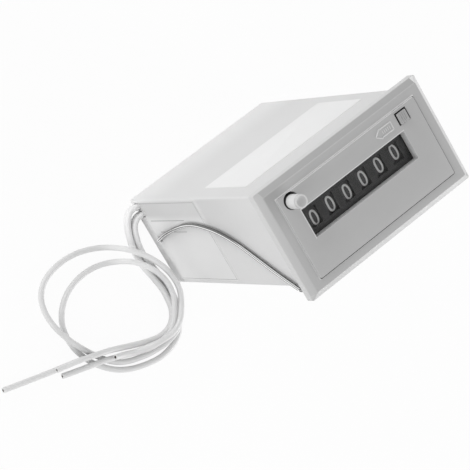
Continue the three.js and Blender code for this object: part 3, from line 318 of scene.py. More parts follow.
BUTTON_LOOK = moulded("button moulding", 0.79, 0.38, 0.004, 0.015, zones=[
    (0.58, [(Z, 84.99, 84.86), (Z, 84.0, 84.5)]),                   # painted shade in the dish
    (0.10, [(Z, 80.4, 80.0)]),                                      # painted shade on the foot in the hole
])
DRUM = moulded("number wheel moulding", 0.072, 0.50, 0.008, 0.10)
MASK = moulded("mask sheet", 0.042, 0.55, 0.006, 0.08, zones=[
    (0.065, [(Y, 1.5, -1.5)]),                                      # painted light on the lower half
    (0.06, [(X, 14.5, 16.5)]),                                      # painted light on the right end
])
FIGURE = moulded("figure ink", 0.95, 0.50, 0.004, 0.02)
NYLON = moulded("natural nylon", 0.66, 0.45, 0.006, 0.03)
LENS = window_look("window sheet")
WIRE = steel_look("spring wire", 0.20, 0.20, (1, 1, 0.08), 0.003, zones=[
    (shade, [(X, side * start, side * full)])                       # painted highlight stripe, then painted shade on the outer flank
    for shade, start, full in ((0.98, 27.99, 28.03), (0.28, 28.11, 28.13))
    for side in (-1, 1)
])
PLATED = steel_look("plated sheet steel", 0.44, 0.38, (1, 0.05, 1), 0.005)
PIN = steel_look("turned steel", 0.50, 0.28, (0.1, 1, 1), 0.004)
BRASS = tinted_metal("brass wheel", (0.60, 0.44, 0.18), 0.32)
COPPER = tinted_metal("enamelled winding", (0.46, 0.17, 0.06), 0.35, (0.15, 0.15, 12), 500)
TOP_LABEL = label_look("top label film", 0.875, 0.42)
# Painted light towards the rear of the side label, against the shade near the floor
SIDE_LABEL = label_look(
    # the band across the upper part is a painted reflection
    "side label film", 0.79, 0.36, zones=[(0.96, [(Z, 20.0, 2.0)])], band=(6.5, 9.5, 0.72))
RULE = moulded("label border ink", 0.36, 0.5, 0.002, 0.05)
SLEEVE = sleeve_look("lead insulation sleeve", 0.77, zones=[
    (0.95, [(X, -44, -37), (Y, -10, -2)]),                          # painted light next to the outlets, against the shade between the leads
])
CORE = tinted_metal("cut conductor", (0.10, 0.085, 0.075), 0.5)


# ---------------------------------------------------------------- modelling helpers
def pick(piece):
    bpy.ops.object.select_all(action="DESELECT")
    piece.select_set(True)
    bpy.context.view_layer.objects.active = piece


def added(name, data):
    """A new object on given data, in the scene."""
    made = bpy.data.objects.new(name, data)
    bpy.context.scene.collection.objects.link(made)
    return made


def settle(piece, name):
    piece.name = name
    pick(piece)
    bpy.ops.object.transform_apply(location=True, rotation=True, scale=True)
    return piece


def block(name, low, high):
    bpy.ops.object.select_all(action="DESELECT")
    middle = [(a + b) / 2 for a, b in zip(low, high)]
    size = [b - a for a, b in zip(low, high)]
    bpy.ops.mesh.primitive_cube_add(size=1, location=middle, scale=size)
    return settle(bpy.context.active_object, name)


def rod(name, radius, low, high, centre, axis=Z, vertices=64):
    bpy.ops.object.select_all(action="DESELECT")
    half = (low + high) / 2
    turn, spot = {
        X: ((0, math.pi / 2, 0), (half, *centre)),
        Z: ((0, 0, 0), (*centre, half)),
    }[axis]
    bpy.ops.mesh.primitive_cylinder_add(
        vertices=vertices, radius=radius, depth=high - low, location=spot, rotation=turn)
    return settle(bpy.context.active_object, name)


def edit(piece, kind, wanted, action):
    """Select the faces or edges that pass a test, then run one edit-mode step on them."""
    pick(piece)
    bpy.ops.object.mode_set(mode="EDIT")
    bpy.ops.mesh.select_mode(type=kind)
    bpy.ops.mesh.select_all(action="DESELECT")
    bpy.ops.object.mode_set(mode="OBJECT")
    mesh = piece.data
    for item in mesh.polygons if kind == "FACE" else mesh.edges:
        item.select = wanted([mesh.vertices[i].co for i in item.vertices])
    bpy.ops.object.mode_set(mode="EDIT")
    action()
    bpy.ops.object.mode_set(mode="OBJECT")
    return piece


def all_at(axis, value):
    return lambda points: all(abs(point[axis] - value) < SAME for point in points)


def round_edges(piece, direction, radius, segments):
    """Round the edges that run along one axis."""
    across = [axis for axis in (X, Y, Z) if axis != direction]

    def runs_along(points):
        return all(abs(points[0][axis] - points[-1][axis]) < SAME for axis in across)

    return edit(piece, "EDGE", runs_along, lambda: bpy.ops.mesh.bevel(
        offset=radius, segments=segments, affect="EDGES"))


def apply_modifier(piece, kind, **settings):
    pick(piece)
    modifier = piece.modifiers.new(kind.title(), kind)
    for key, value in settings.items():
        setattr(modifier, key, value)
    bpy.ops.object.modifier_apply(modifier=modifier.name)
    return piece


def carve(piece, *tools, operation="DIFFERENCE"):
    for tool in tools:
        apply_modifier(piece, "BOOLEAN", object=tool, operation=operation, solver="EXACT")
        bpy.data.objects.remove(tool, do_unlink=True)
    return piece


def smooth(piece):
    pick(piece)
    bpy.ops.object.shade_smooth_by_angle(angle=SMOOTH_ANGLE)
    return piece


def soften(piece, width, segments, angle=30):
    apply_modifier(piece, "BEVEL", width=width, segments=segments, limit_method="ANGLE",
                   angle_limit=math.radians(angle), harden_normals=False)
    return smooth(piece)


def as_mesh(line):
    pick(line)
    bpy.ops.object.convert(target="MESH")
    return bpy.context.active_object


def joined(parts, name):
    pick(parts[0])
    for part in parts[1:]:
        part.select_set(True)
    bpy.ops.object.join()
    piece = bpy.context.active_object
    piece.name = name
    return piece


def fit_out(piece, look, body="housing", stands_for=()):
    """Bring a piece to metres and give it its finish, its body and the node it stands for."""
    piece.scale = (MM, MM, MM)
    settle(piece, piece.name)
    piece.data.materials.clear()
    piece.data.materials.append(look)
    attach(piece, body)
    if stands_for:
        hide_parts(*stands_for)
    return piece


def drawn_line(name, points, radius, resolution, closed=False):
    """A round wire, sleeve or stroke on given points, as one open or closed line."""
    line = bpy.data.curves.new(name, "CURVE")
    line.dimensions = "3D"
    line.bevel_depth = radius
    line.bevel_resolution = resolution
    line.use_fill_caps = True
    spline = line.splines.new("POLY")
    spline.points.add(len(points) - 1)
    for spot, point in zip(spline.points, points):
        spot.co = (*point, 1)
    spline.use_cyclic_u = closed
    spline.use_smooth = True
    return added(name, line)


def dense(points, closed):
    """The same outline with a point at about every OUTLINE_STEP."""
    ring = points + points[:1] if closed else points
    spots = []
    for (x0, y0), (x1, y1) in zip(ring, ring[1:]):
        steps = max(1, int(math.hypot(x1 - x0, y1 - y0) / OUTLINE_STEP))
        spots += [(x0 + (x1 - x0) * i / steps, y0 + (y1 - y0) * i / steps)
                  for i in range(steps)]
    return spots if closed else spots + [points[-1]]


def spline_through(points, count):
    """Evenly spaced points on a centripetal curve through the given ones."""
    knots = [Vector(p) for p in points]
    ends = [knots[0] * 2 - knots[1], *knots, knots[-1] * 2 - knots[-2]]
    curve = []
    for index in range(len(knots) - 1):
        p0, p1, p2, p3 = ends[index:index + 4]
        d0, d1, d2 = [max((b - a).length_squared ** 0.25, 1e-4)
                      for a, b in ((p0, p1), (p1, p2), (p2, p3))]
        m1 = ((p1 - p0) / d0 - (p2 - p0) / (d0 + d1) + (p2 - p1) / d1) * d1
        m2 = ((p2 - p1) / d1 - (p3 - p1) / (d1 + d2) + (p3 - p2) / d2) * d1
        for tick in range(CURVE_TICKS):
            t = tick / CURVE_TICKS
            a = 2 * t ** 3 - 3 * t ** 2 + 1
            b = t ** 3 - 2 * t ** 2 + t
            c = -2 * t ** 3 + 3 * t ** 2
            curve.append(p1 * a + m1 * b + p2 * c + m2 * (t ** 3 - t ** 2))
    curve.append(knots[-1])
    lengths = [0.0]
    for a, b in zip(curve, curve[1:]):
        lengths.append(lengths[-1] + (b - a).length)
    even, place = [], 0
    for index in range(count + 1):
        target = lengths[-1] * index / count
        while place < len(curve) - 2 and lengths[place + 1] < target:
            place += 1
        share = (target - lengths[place]) / (lengths[place + 1] - lengths[place])
        even.append(curve[place].lerp(curve[place + 1], min(max(share, 0.0), 1.0)))
    return even


# ---------------------------------------------------------------- camera, light and floor
SENSOR_WIDTH, FOCAL_LENGTH = 36, 178.41
CAMERA_PLACE = Vector((-0.28351, 0.17412, 0.60172))
CAMERA_RIGHT = Vector((0.72511, -0.48502, 0.48884))
CAMERA_UP = Vector((0.55597, 0.83121, 0.00003))
CAMERA_BACK = Vector((-0.40634, 0.27176, 0.87237))
WORLD_LIGHT = 0.58
FLOOR_SHOWN = 0.94


def make_camera():
    lens = bpy.data.cameras.new("camera")
    lens.sensor_width = SENSOR_WIDTH
    lens.lens = FOCAL_LENGTH
    camera = added("camera", lens)
    turn = Matrix((CAMERA_RIGHT, CAMERA_UP, CAMERA_BACK)).transposed().to_4x4()
    camera.matrix_world = Matrix.Translation(CAMERA_PLACE) @ turn
    bpy.context.scene.camera = camera


def seen_rays(look):
    """Rays that carry the background: straight from the camera, mirrored or through glass."""
    camera, glossy, through = [
        look.node("ShaderNodeLightPath", out=name)
        for name in ("Is Camera Ray", "Is Glossy Ray", "Is Transmission Ray")]
    return (camera + glossy + through).clamp()


def make_world():
    """White to the eye; an even, softer light falls on the object."""
    world = bpy.data.worlds.new("studio")
    bpy.context.scene.world = world
    look = Finish("studio", world)
    lit = look.node("ShaderNodeBackground", {}, {"Color": grey(1), "Strength": WORLD_LIGHT})
    shown = look.node("ShaderNodeBackground", {}, {"Color": grey(1), "Strength": 1.0})
    both = look.node("ShaderNodeMixShader", {}, {0: seen_rays(look), 1: lit, 2: shown})
    look.done(both, "ShaderNodeOutputWorld")


def make_lamp(name, direction, size, power, distance=0.6, target=(0, 0, 0.04)):
    """A round soft lamp that faces the target, all in metres and watts."""
    lamp = bpy.data.lights.new(name, "AREA")
    lamp.shape = "DISK"
    lamp.size = size
    lamp.energy = power
    made = added(name, lamp)
    way = Vector(direction).normalized()
    made.location = Vector(target) + way * distance
    made.rotation_mode = "QUATERNION"
    made.rotation_quaternion = way.to_track_quat("Z", "Y")


def make_floor():
    bpy.ops.object.select_all(action="DESELECT")
    bpy.ops.mesh.primitive_plane_add(size=4)
    floor = settle(bpy.context.active_object, "floor")
    look = Finish("pale floor")
    dust = look.noise(30, 2.0)
    matt = look.surface(Base_Color=look.blend(dust, grey(0.93), grey(0.95)), Roughness=0.9)
    white = look.node("ShaderNodeEmission", {}, {"Color": grey(1), "Strength": 1.0})
    share = seen_rays(look) * FLOOR_SHOWN
    both = look.node("ShaderNodeMixShader", {}, {0: share, 1: matt, 2: white})
    floor.data.materials.append(look.done(both))


make_camera()
make_world()
make_lamp("key", (-0.30, 0.93, 0.08), 0.4, 1.35)
make_lamp("side", (-0.86, -0.20, 0.40), 0.30, 0.40, 0.45, (-0.03, 0, 0.01))
make_lamp("fill", (0.55, -0.80, 0.12), 0.4, 1.8)
make_floor()
bpy.context.scene.view_settings.view_transform = "Standard"


# ---------------------------------------------------------------- leads
# Heights of a lead's middle: on the floor, over one other lead and over a crossing
F, U, T = 0.9, 2.95, 4.97
ROUTES = {
    "lead_1": [
        (-22.2, 11.7, F), (-24.8, 11.85, F), (-26.4, 12.1, F), (-28.0, 12.28, F),
        (-29.65, 11.75, F), (-30.95, 10.55, F), (-32.2, 8.35, F), (-33.25, 5.5, F),
        (-33.9, 3.02, F), (-34.24, 0.46, F), (-34.24, -2.33, F), (-33.78, -5.44, F),
        (-33.11, -8.88, F), (-32.59, -12.57, F), (-32.72, -16.01, F), (-33.15, -18.72, F),
        (-34.18, -20.84, F), (-35.71, -22.43, F), (-37.92, -23.37, F), (-40.7, -23.52, F),
        (-44.1, -22.74, F), (-47.23, -21.57, F), (-50.26, -20.28, F), (-53.3, -18.95, 1.0),
        (-56.56, -17.46, 1.7), (-59.72, -16.16, 2.7), (-62.94, -15.06, U), (-66.32, -14.0, 2.8),
        (-70.6, -13.14, 1.4), (-76.13, -11.74, F), (-82.7, -9.9, F), (-89.72, -7.87, F),
    ],
    "lead_2": [
        (-22.2, 11.7, U), (-24.8, 11.85, U), (-26.5, 12.2, U), (-28.3, 12.45, U),
        (-30.05, 12.0, U), (-31.4, 10.8, U), (-32.75, 8.7, U), (-33.85, 5.9, U),
        (-34.48, 3.42, U), (-34.83, 0.87, U), (-34.82, -1.91, U), (-34.37, -5.01, U),
        (-33.69, -8.44, U), (-33.18, -12.12, U), (-33.31, -15.55, U), (-33.74, -18.25, U),
        (-34.76, -20.37, U), (-36.29, -21.95, U), (-38.49, -22.89, U), (-41.27, -23.04, U),
        (-44.65, -22.25, U), (-47.77, -21.09, U), (-50.79, -19.81, U), (-54.18, -18.21, 3.3),
        (-57.49, -16.68, 4.15), (-60.55, -15.46, 4.9), (-63.7, -14.4, 5.02),
        (-66.99, -13.42, 4.65), (-71.0, -12.67, 3.35), (-73.79, -12.09, 3.0),
    ],
    "lead_3": [
        (-22.2, 9.45, F), (-24.5, 9.5, F), (-26.7, 9.58, F), (-28.3, 9.35, F), (-29.5, 8.65, F),
        (-30.35, 7.55, F), (-30.95, 6.25, F), (-31.3, 4.9, F), (-31.93, 2.63, F),
        (-32.25, 0.34, F), (-32.25, -2.17, F), (-31.81, -5.09, F), (-31.13, -8.55, F),
        (-30.59, -12.46, F), (-30.73, -16.19, F), (-31.23, -19.29, F), (-32.37, -21.71, F),
        (-33.6, -23.9, F), (-34.82, -25.9, F), (-37.12, -27.49, F), (-40.4, -28.49, F),
        (-44.31, -28.69, F), (-47.84, -28.04, F), (-51.1, -27.07, F), (-54.1, -25.8, F),
        (-56.75, -24.2, F), (-59.09, -22.18, F), (-61.15, -19.8, F), (-62.88, -17.31, F),
        (-64.12, -14.62, F), (-65.06, -11.66, F), (-65.45, -8.8, F), (-65.3, -5.82, F),
        (-64.57, -3.04, F), (-63.2, -0.54, F), (-61.03, 1.76, F), (-58.08, 3.69, F),
        (-54.39, 4.86, F), (-50.47, 5.22, F), (-46.26, 4.68, F), (-42.83, 3.57, 1.6),
        (-40.36, 2.36, 3.2), (-38.54, 1.15, 4.6), (-36.78, -0.49, T), (-35.06, -2.55, T),
        (-33.56, -4.96, T), (-32.41, -7.63, T), (-31.8, -10.39, T), (-31.87, -13.14, T),
        (-32.51, -15.68, T), (-33.72, -18.02, T), (-35.27, -20.11, T), (-36.94, -21.95, T),
        (-39.19, -23.2, T), (-41.77, -23.68, 4.95), (-44.32, -23.63, 4.7), (-46.34, -23.68, 3.5),
        (-48.02, -23.5, 2.0), (-50.47, -22.66, 1.2), (-53.63, -21.22, 1.6),
        (-57.06, -19.69, 2.6), (-60.26, -18.45, U), (-63.74, -17.39, U), (-67.0, -16.58, 2.3),
        (-69.82, -15.92, 1.4), (-72.74, -15.08, 1.1),
    ],
    "lead_4": [
        (-22.2, 9.45, U), (-24.5, 9.5, U), (-26.7, 9.6, U), (-28.5, 9.45, U), (-29.9, 8.8, U),
        (-30.9, 7.7, U), (-31.55, 6.4, U), (-31.95, 5.2, U), (-32.52, 3.04, U),
        (-32.83, 0.75, U), (-32.83, -1.75, U), (-32.4, -4.67, U), (-31.72, -8.11, U),
        (-31.18, -12.01, U), (-31.32, -15.73, U), (-31.82, -18.82, U), (-32.96, -21.24, U),
        (-34.19, -23.41, U), (-36.23, -24.83, 2.8), (-38.63, -25.8, 2.2), (-41.06, -26.27, 1.3),
        (-43.65, -26.17, F), (-46.33, -25.77, F), (-49.18, -25.07, F), (-52.52, -23.95, F),
        (-55.53, -22.38, F), (-57.95, -20.24, F), (-59.98, -17.54, F), (-61.89, -14.61, 1.0),
        (-63.18, -12.7, 2.15), (-64.27, -10.89, 2.85), (-65.61, -8.03, U), (-66.78, -4.73, U),
        (-67.61, -1.39, U), (-67.66, 1.93, 2.4), (-66.79, 5.06, 1.3), (-65.27, 7.77, F),
        (-62.83, 10.04, F), (-59.54, 11.39, F), (-55.41, 11.95, F), (-50.75, 11.6, F),
        (-46.0, 10.19, F), (-41.99, 8.25, 1.6), (-38.9, 6.05, 3.6), (-36.82, 4.0, 4.9),
        (-34.88, 1.76, T), (-33.07, -0.74, T), (-31.47, -3.59, T), (-30.25, -6.44, T),
        (-29.49, -9.41, T), (-29.29, -12.28, T), (-29.71, -14.97, T), (-30.9, -17.31, 5.25),
        (-32.6, -19.29, 5.9), (-34.3, -21.09, 6.3), (-36.59, -22.46, 6.85),
        (-39.36, -23.23, 6.95), (-42.65, -23.11, 6.95), (-45.69, -22.73, 6.3),
        (-48.33, -22.36, 4.7), (-51.11, -21.8, 3.5), (-54.25, -20.41, 3.85),
        (-57.45, -19.04, 4.9),
    ],
}


def make_leads():
    for name, route in ROUTES.items():
        line = spline_through(route, LEAD_STEPS)
        for point in line:
            point.z = max(point.z, LEAD_DIAMETER / 2 + 0.02)
        line = [point * MM for point in line]
        sleeve = drawn_line(f"{name}_sleeve", line, LEAD_DIAMETER / 2 * MM, 5)
        sleeve.data.materials.append(SLEEVE)
        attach(sleeve, "housing")
        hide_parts(name)
        way = (line[-1] - line[-3]).normalized()
        core_line = [line[-1] - way * 0.3 * MM, line[-1] + way * 0.06 * MM]
        core = drawn_line(f"{name}_core", core_line, CORE_RADIUS * MM, 3)
        core.data.materials.append(CORE)
        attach(core, "housing")
        length = sum((b - a).length for a, b in zip(line, line[1:]))


# ---------------------------------------------------------------- housing
def make_case():
    """Case sleeve, open at the front, with two outlets and two pivot holes."""
    case = block("case_sleeve", (-CASE_X, -CASE_Y, 0), (CASE_X, CASE_Y, CASE_FRONT + 0.5))
    round_edges(case, Z, 0.8, 6)
    inner_x, inner_y = CASE_X - CASE_WALL, CASE_Y - CASE_WALL
    hollow = block("hollow", (-inner_x, -inner_y, -1), (inner_x, inner_y, CASE_FRONT + 2))
    tools = [round_edges(hollow, Z, 0.4, 4)]
    for low, high in OUTLETS:
        tools.append(block("outlet", (-CASE_X - 1, low, -1), (-inner_x + 0.8, high, OUTLET_TOP)))
    for side in (-1, 1):
        wall = side * (CASE_X - CASE_WALL / 2)
        tools.append(rod("pivot hole", WIRE_RADIUS + 0.3, wall - 1.6, wall + 1.6, PIVOT, X, 32))
    carve(case, *tools)
    soften(case, 0.12, 2)
    fit_out(case, CASE, stands_for=["case"])


def make_bezel():
    """Bezel frame: straight walls, a slope all round, a flat front and a seam for the plate."""
    wall_top = BEZEL_FRONT - BEZEL_SLOPE
    bezel = block("bezel_frame", (-BEZEL_X, -BEZEL_Y, CASE_FRONT), (BEZEL_X, BEZEL_Y, wall_top))
    round_edges(bezel, Z, 0.5, 5)

    def raise_front():
        bpy.ops.mesh.extrude_region_move(
            TRANSFORM_OT_translate={"value": (0, 0, BEZEL_SLOPE)})
        bpy.ops.transform.resize(value=(
            (BEZEL_X - BEZEL_INSET) / BEZEL_X, (BEZEL_Y - BEZEL_INSET) / BEZEL_Y, 1))

    edit(bezel, "FACE", all_at(Z, wall_top), raise_front)
    front = block(
        "front opening",
        (-PLATE_X - SEAM_CLOSED, -PLATE_Y - SEAM_OPEN, PLATE_REAR),
        (PLATE_X + SEAM_OPEN, PLATE_Y + SEAM_CLOSED, TOOL_FRONT))
    round_edges(front, Z, 0.5, 4)
    through = block(
        "through opening",
        (-BEZEL_INNER_X, -BEZEL_INNER_Y, 72), (BEZEL_INNER_X, BEZEL_INNER_Y, TOOL_FRONT))
    round_edges(through, Z, 0.5, 4)
    collar = block("collar", (-COLLAR_X, -COLLAR_Y, 73.5), (COLLAR_X, COLLAR_Y, CASE_FRONT + 0.5))
    carve(bezel, collar, operation="UNION")
    carve(bezel, front, through, rod("button room", FLANGE_ROOM_RADIUS, 73, 79, BUTTON))
    groove = block(
        "groove",
        (-CASE_X - 0.2, -CASE_Y - 0.2, CASE_FRONT - 1),
        (CASE_X + 0.2, CASE_Y + 0.2, CASE_FRONT + 0.5))
    carve(groove, block("groove core", (-COLLAR_X, -COLLAR_Y, 70), (COLLAR_X, COLLAR_Y, 80)))
    carve(bezel, groove)
    soften(bezel, 0.14, 3, 25)
    fit_out(bezel, BEZEL, stands_for=["bezel"])


def make_face_plate():
    """Face plate: a tray with the window, the button hole and the lock slot in its face."""
    low, high = (-PLATE_X, -PLATE_Y, PLATE_REAR), (PLATE_X, PLATE_Y, PLATE_FRONT)
    plate = block("face_plate_sheet", low, high)
    round_edges(plate, Z, 0.5, 5)
    inner_x, inner_y = PLATE_X - PLATE_WALL, PLATE_Y - PLATE_WALL
    tools = [block("hollow", (-inner_x, -inner_y, TOOL_REAR), (inner_x, inner_y, PLATE_BACK))]
    left, right, bottom, top = WINDOW
    tools.append(block("window opening", (left, bottom, TOOL_REAR), (right, top, TOOL_FRONT)))
    tools.append(rod(
        "button hole", BUTTON_HOLE_RADIUS, TOOL_REAR, TOOL_FRONT, BUTTON_HOLE, vertices=72))
    tools.append(rod("flange room", FLANGE_ROOM_RADIUS, TOOL_REAR, PLATE_BACK, BUTTON))
    left, right, bottom, top = LOCK_SLOT
    tools.append(block("lock slot", (left, bottom, TOOL_REAR), (right, top, TOOL_FRONT)))
    carve(plate, *tools)
    soften(plate, 0.10, 3)
    fit_out(plate, PLATE, stands_for=["face_plate"])


# ---------------------------------------------------------------- lock slide and button
def make_lock():
    """Lock slide: a square lug with four ribs, on a foot that runs behind the plate."""
    left, right, bottom, top = LOCK_LUG
    rib_start, rib_pitch, rib_width = left + 0.42, 0.62, 0.3
    lug = block("lock_lug", (left, bottom, 77.3), (right, top, 80.7))
    foot = block("lock foot", (left - 1.37, 7.0, 76.9), (right + 1.37, 10.7, 77.6))
    carve(lug, foot, operation="UNION")
    soften(lug, 0.14, 3)
    for index in range(4):
        start = rib_start + index * rib_pitch
        rib = block("rib", (start, bottom + 0.35, 80.5), (start + rib_width, top - 0.3, 80.82))
        carve(lug, rib, operation="UNION")
    fit_out(lug, LUG, "lock", ["lock_slide"])


def turned(name, profile, centre, steps=72):
    """A turned piece: a profile of (radius, height) points spun once round its axis."""
    mesh = bpy.data.meshes.new(name)
    points = [(radius, 0, height) for radius, height in profile]
    mesh.from_pydata(points, [(i, i + 1) for i in range(len(points) - 1)], [])
    piece = added(name, mesh)
    pick(piece)
    bpy.ops.object.mode_set(mode="EDIT")
    bpy.ops.mesh.select_all(action="SELECT")
    bpy.ops.mesh.spin(
        steps=steps, angle=2 * math.pi, center=(0, 0, 0), axis=(0, 0, 1), dupli=False)
    bpy.ops.mesh.select_all(action="SELECT")
    bpy.ops.mesh.remove_doubles(threshold=1e-4)
    bpy.ops.mesh.normals_make_consistent(inside=False)
    bpy.ops.object.mode_set(mode="OBJECT")
    piece.location = (*centre, 0)
    return settle(piece, name)


def make_button():
    """Reset button: a slim stem, a flange and a cap with a rounded rim and a dished end."""
    stem, flange, cap = 0.9, 2.65, 1.95
    rim = [(cap, 0.30), (1.93, 0.17), (1.86, 0.07), (1.75, 0.01), (1.62, 0.0)]
    dish = [(1.50, 0.03), (1.36, 0.13), (1.15, 0.27), (0.85, 0.38), (0.45, 0.44), (0, 0.46)]
    profile = [(0, 57.0), (stem, 57.0), (stem, 76.6), (flange, 76.6), (flange, 77.6), (cap, 77.6)]
    profile += [(radius, BUTTON_TOP - depth) for radius, depth in rim + dish]
    button = turned("reset_button_cap", profile, BUTTON)
    x, y = BUTTON
    carve(button, block("flange flat", (x + 1.96, y - 3, 76.4), (x + 3, y + 3, 77.8)))
    smooth(button)
    fit_out(button, BUTTON_LOOK, "button", ["reset_button"])


# ---------------------------------------------------------------- labels and raised arrow
def make_labels():
    """Top label, and side label with its border lines and two rules."""
    top = block(
        "top_label",
        (-21.5, CASE_Y - LABEL_SUNK, 37.4), (22.5, CASE_Y + LABEL_RISE, 60.7))
    round_edges(top, Y, 0.6, 4)
    soften(top, 0.02, 2)
    fit_out(top, TOP_LABEL)
    face = -CASE_X - LABEL_RISE
    side = block("side_label", (face, -13.0, 3.6), (-CASE_X + LABEL_SUNK, 13.5, 37.6))
    notch = rod(
        "pivot clearance", WIRE_RADIUS + 0.5, -CASE_X - 1, -CASE_X + 1, PIVOT, X, 32)
    outlets = block("outlet clearance", (-CASE_X - 1, 7.2, 2), (-CASE_X + 1, 14, 4.4))
    carve(side, notch, outlets)
    soften(side, 0.02, 2)
    fit_out(side, SIDE_LABEL)
    line, low, high, rear, front = 0.11, -12.6, 13.2, 4.9, 37.1
    lines = [
        (low, low + line, rear, front), (high - line, high, rear, front),
        (low, high, front - line, front), (3.35, 3.55, 8.0, 24.0), (7.15, 7.35, 6.0, 26.0)]
    for index, (y0, y1, z0, z1) in enumerate(lines):
        rule = block(
            f"label_rule_{index + 1}", (face - 0.02, y0, z0), (face + LABEL_SUNK, y1, z1))
        fit_out(rule, RULE)


def make_arrow():
    """Raised arrow beside the lock slide: an outline round a field of short ribs."""
    outline = [
        (9.45, 9.25), (11.15, 10.6), (11.5, 10.5), (15.5, 10.5), (15.5, 8.2), (11.5, 8.2),
        (11.15, 7.9)]
    strokes = [(outline, 0.18, True)]
    strokes += [([(x, 8.85), (x, 9.85)], 0.12, False) for x in (12.0, 12.65, 13.3, 13.95, 14.6)]
    ridges = []
    for corners, radius, closed in strokes:
        spots = [(x, y, PLATE_FRONT) for x, y in dense(corners, closed)]
        ridges.append(as_mesh(drawn_line("ridge", spots, radius, 3, closed)))
    arrow = joined(ridges, "arrow_outline")
    for vertex in arrow.data.vertices:
        vertex.co.z = max(vertex.co.z, PLATE_FRONT - 0.02)
    fit_out(arrow, RELIEF)


# ---------------------------------------------------------------- figures on the wheels
def arc(cx, cy, rx, ry, start, end, count=16):
    angles = [math.radians(start + (end - start) * i / count) for i in range(count + 1)]
    return [(cx + rx * math.cos(a), cy + ry * math.sin(a)) for a in angles]


def oval(cx, cy, rx, ry, power=1.0, count=44):
    """A closed oval; a power below 1 squares its shoulders."""
    def pull(value):
        return math.copysign(abs(value) ** power, value)

    angles = [2 * math.pi * index / count for index in range(count)]
    return [(cx + rx * pull(math.cos(a)), cy + ry * pull(math.sin(a))) for a in angles]


# Each figure's strokes on a field 1.72 wide and 3.72 high: the points and whether they close
HALF, TALL = 0.86, 1.86
HOOK = arc(0.75, -0.3, 1.6, 2.15, 94, 190, 18)
STROKES = {
    0: [(oval(0, 0, HALF, TALL, 0.86), True)],
    1: [([(-0.55, 1.25), (0.1, TALL), (0.1, -TALL)], False)],
    2: [(arc(0, 0.98, HALF, 0.88, 170, -38) + [(-HALF, -TALL), (HALF, -TALL)], False)],
    3: [(arc(-0.05, 0.98, 0.8, 0.88, 150, -90), False),
        (arc(-0.05, -0.88, 0.9, 0.98, 90, -150), False)],
    4: [([(0.45, -TALL), (0.45, TALL), (-HALF, -0.75), (HALF, -0.75)], False)],
    5: [([(0.75, TALL), (-0.62, TALL), (-0.74, 0.25)]
         + arc(-0.02, -0.68, 0.88, 1.18, 128, -150), False)],
    6: [(HOOK, False), (oval(0, -0.85, HALF, 1.01), True)],
    7: [([(-HALF, TALL), (HALF, TALL), (-0.25, -TALL)], False)],
    8: [(oval(0, 0.98, 0.7, 0.88), True), (oval(0, -0.88, HALF, 0.98), True)],
    9: [([(-x, -y) for x, y in HOOK], False), (oval(0, 0.85, HALF, 1.01), True)],
}
WIDEN, HEIGHTEN, STROKE_RADIUS = 1.08, 1.087, 0.31
STROKE_SUNK, STROKE_RISE = -0.1, 0.12


def make_figures():
    """The figures 0 to 9 round each wheel, as low strokes bent onto its rim."""
    for wheel, drift in enumerate(FIGURE_DRIFT):
        middle = FIRST_FIGURE_X + wheel * FIGURE_PITCH
        parts = []
        for figure, strokes in STROKES.items():
            for points, closed in strokes:
                flat = [(u * WIDEN, v * HEIGHTEN + drift, 0) for u, v in dense(points, closed)]
                stroke = as_mesh(drawn_line("stroke", flat, STROKE_RADIUS, 1, closed))
                for vertex in stroke.data.vertices:
                    u, v, rise = vertex.co
                    radius = WHEEL_RADIUS + max(rise, STROKE_SUNK) * STROKE_RISE
                    angle = math.radians(36) * figure + v / WHEEL_RADIUS
                    vertex.co = (middle + u, WHEEL_Y + radius * math.sin(angle),
                                 WHEEL_Z + radius * math.cos(angle))
                parts.append(stroke)
        figures = joined(parts, f"figures_{wheel + 1}")
        fit_out(figures, FIGURE, f"wheel_{wheel + 1}")


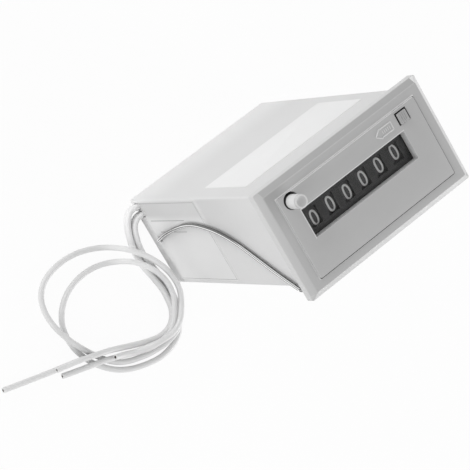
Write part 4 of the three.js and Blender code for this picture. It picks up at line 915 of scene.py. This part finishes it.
# ---------------------------------------------------------------- wire mounting spring
def make_wire():
    """Mounting spring: pivot end, bowed arm and a bend into the crossbar, then its mirror."""
    x_side, bend = CASE_X + WIRE_GAP + WIRE_RADIUS, WIRE_BEND
    pivot, bar = Vector((0, *PIVOT)), Vector((0, *CROSSBAR))
    shares = [0.092, 0.173, 0.2474, 0.33, 0.42, 0.5174, 0.6, 0.6868, 0.79, 0.895]
    bows = [3.51, 6.13, 8.29, 10.4, 11.85, 12.24, 11.8, 10.2, 6.75, 3.1]
    arm = [pivot.lerp(bar, share) + Vector((0, bow, 0)) for share, bow in zip(shares, bows)]
    start, end = (arm[0] - pivot).normalized(), (arm[-1] - bar).normalized()
    side = Vector((x_side, 0, 0))
    quarter = [math.pi / 2 * index / BEND_STEPS for index in range(BEND_STEPS + 1)]

    def bent(corner, way, sideways, back):
        out = Vector((x_side - bend + bend * sideways, 0, 0))
        return corner + out + way * bend * (1 - back)

    half = [Vector((24.4, *PIVOT))]
    half += [bent(pivot, start, math.sin(a), math.cos(a)) for a in quarter]
    along_arm = spline_through([pivot + start * bend, *arm, bar + end * bend], ARM_STEPS)
    half += [point + side for point in along_arm[1:]]
    half += [bent(bar, end, math.cos(a), math.sin(a)) for a in quarter[1:]]
    mirrored = [Vector((-p.x, p.y, p.z)) for p in reversed(half)]
    points = [point * MM for point in half + mirrored]
    wire = drawn_line("mounting_spring_wire", points, WIRE_RADIUS * MM, 6)
    wire.data.materials.append(WIRE)
    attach(wire, "wire")
    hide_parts("mounting_spring")


make_leads()
make_case()
make_bezel()
make_face_plate()
make_lock()
make_button()
make_labels()
make_arrow()
make_figures()
make_wire()

# Finishes of the nodes that are carried over from the frame
LOOKS = {
    CASE: ["rear_cover", "lead_grip"],
    LENS: ["window_lens"],
    DRUM: [f"number_wheel_{i}" for i in range(1, 7)],
    MASK: ["figure_mask"],
    NYLON: [f"transfer_pinion_{i}" for i in range(1, 6)] + ["reset_comb", "coil_bobbin"],
    PLATED: ["left_side_frame", "right_side_frame", "upper_frame_bar", "lower_frame_bar",
             "armature", "yoke", "core"],
    PIN: ["wheel_shaft", "pinion_shaft", "armature_pin", "rear_screw_1", "rear_screw_2"],
    WIRE: ["reset_button_spring", "armature_spring"],
    BRASS: ["escape_wheel"],
    COPPER: ["coil_winding"],
}
for look, names in LOOKS.items():
    for name in names:
        node = nodes[name]
        node.data.materials.clear()
        node.data.materials.append(look)

bpy.context.view_layer.update()
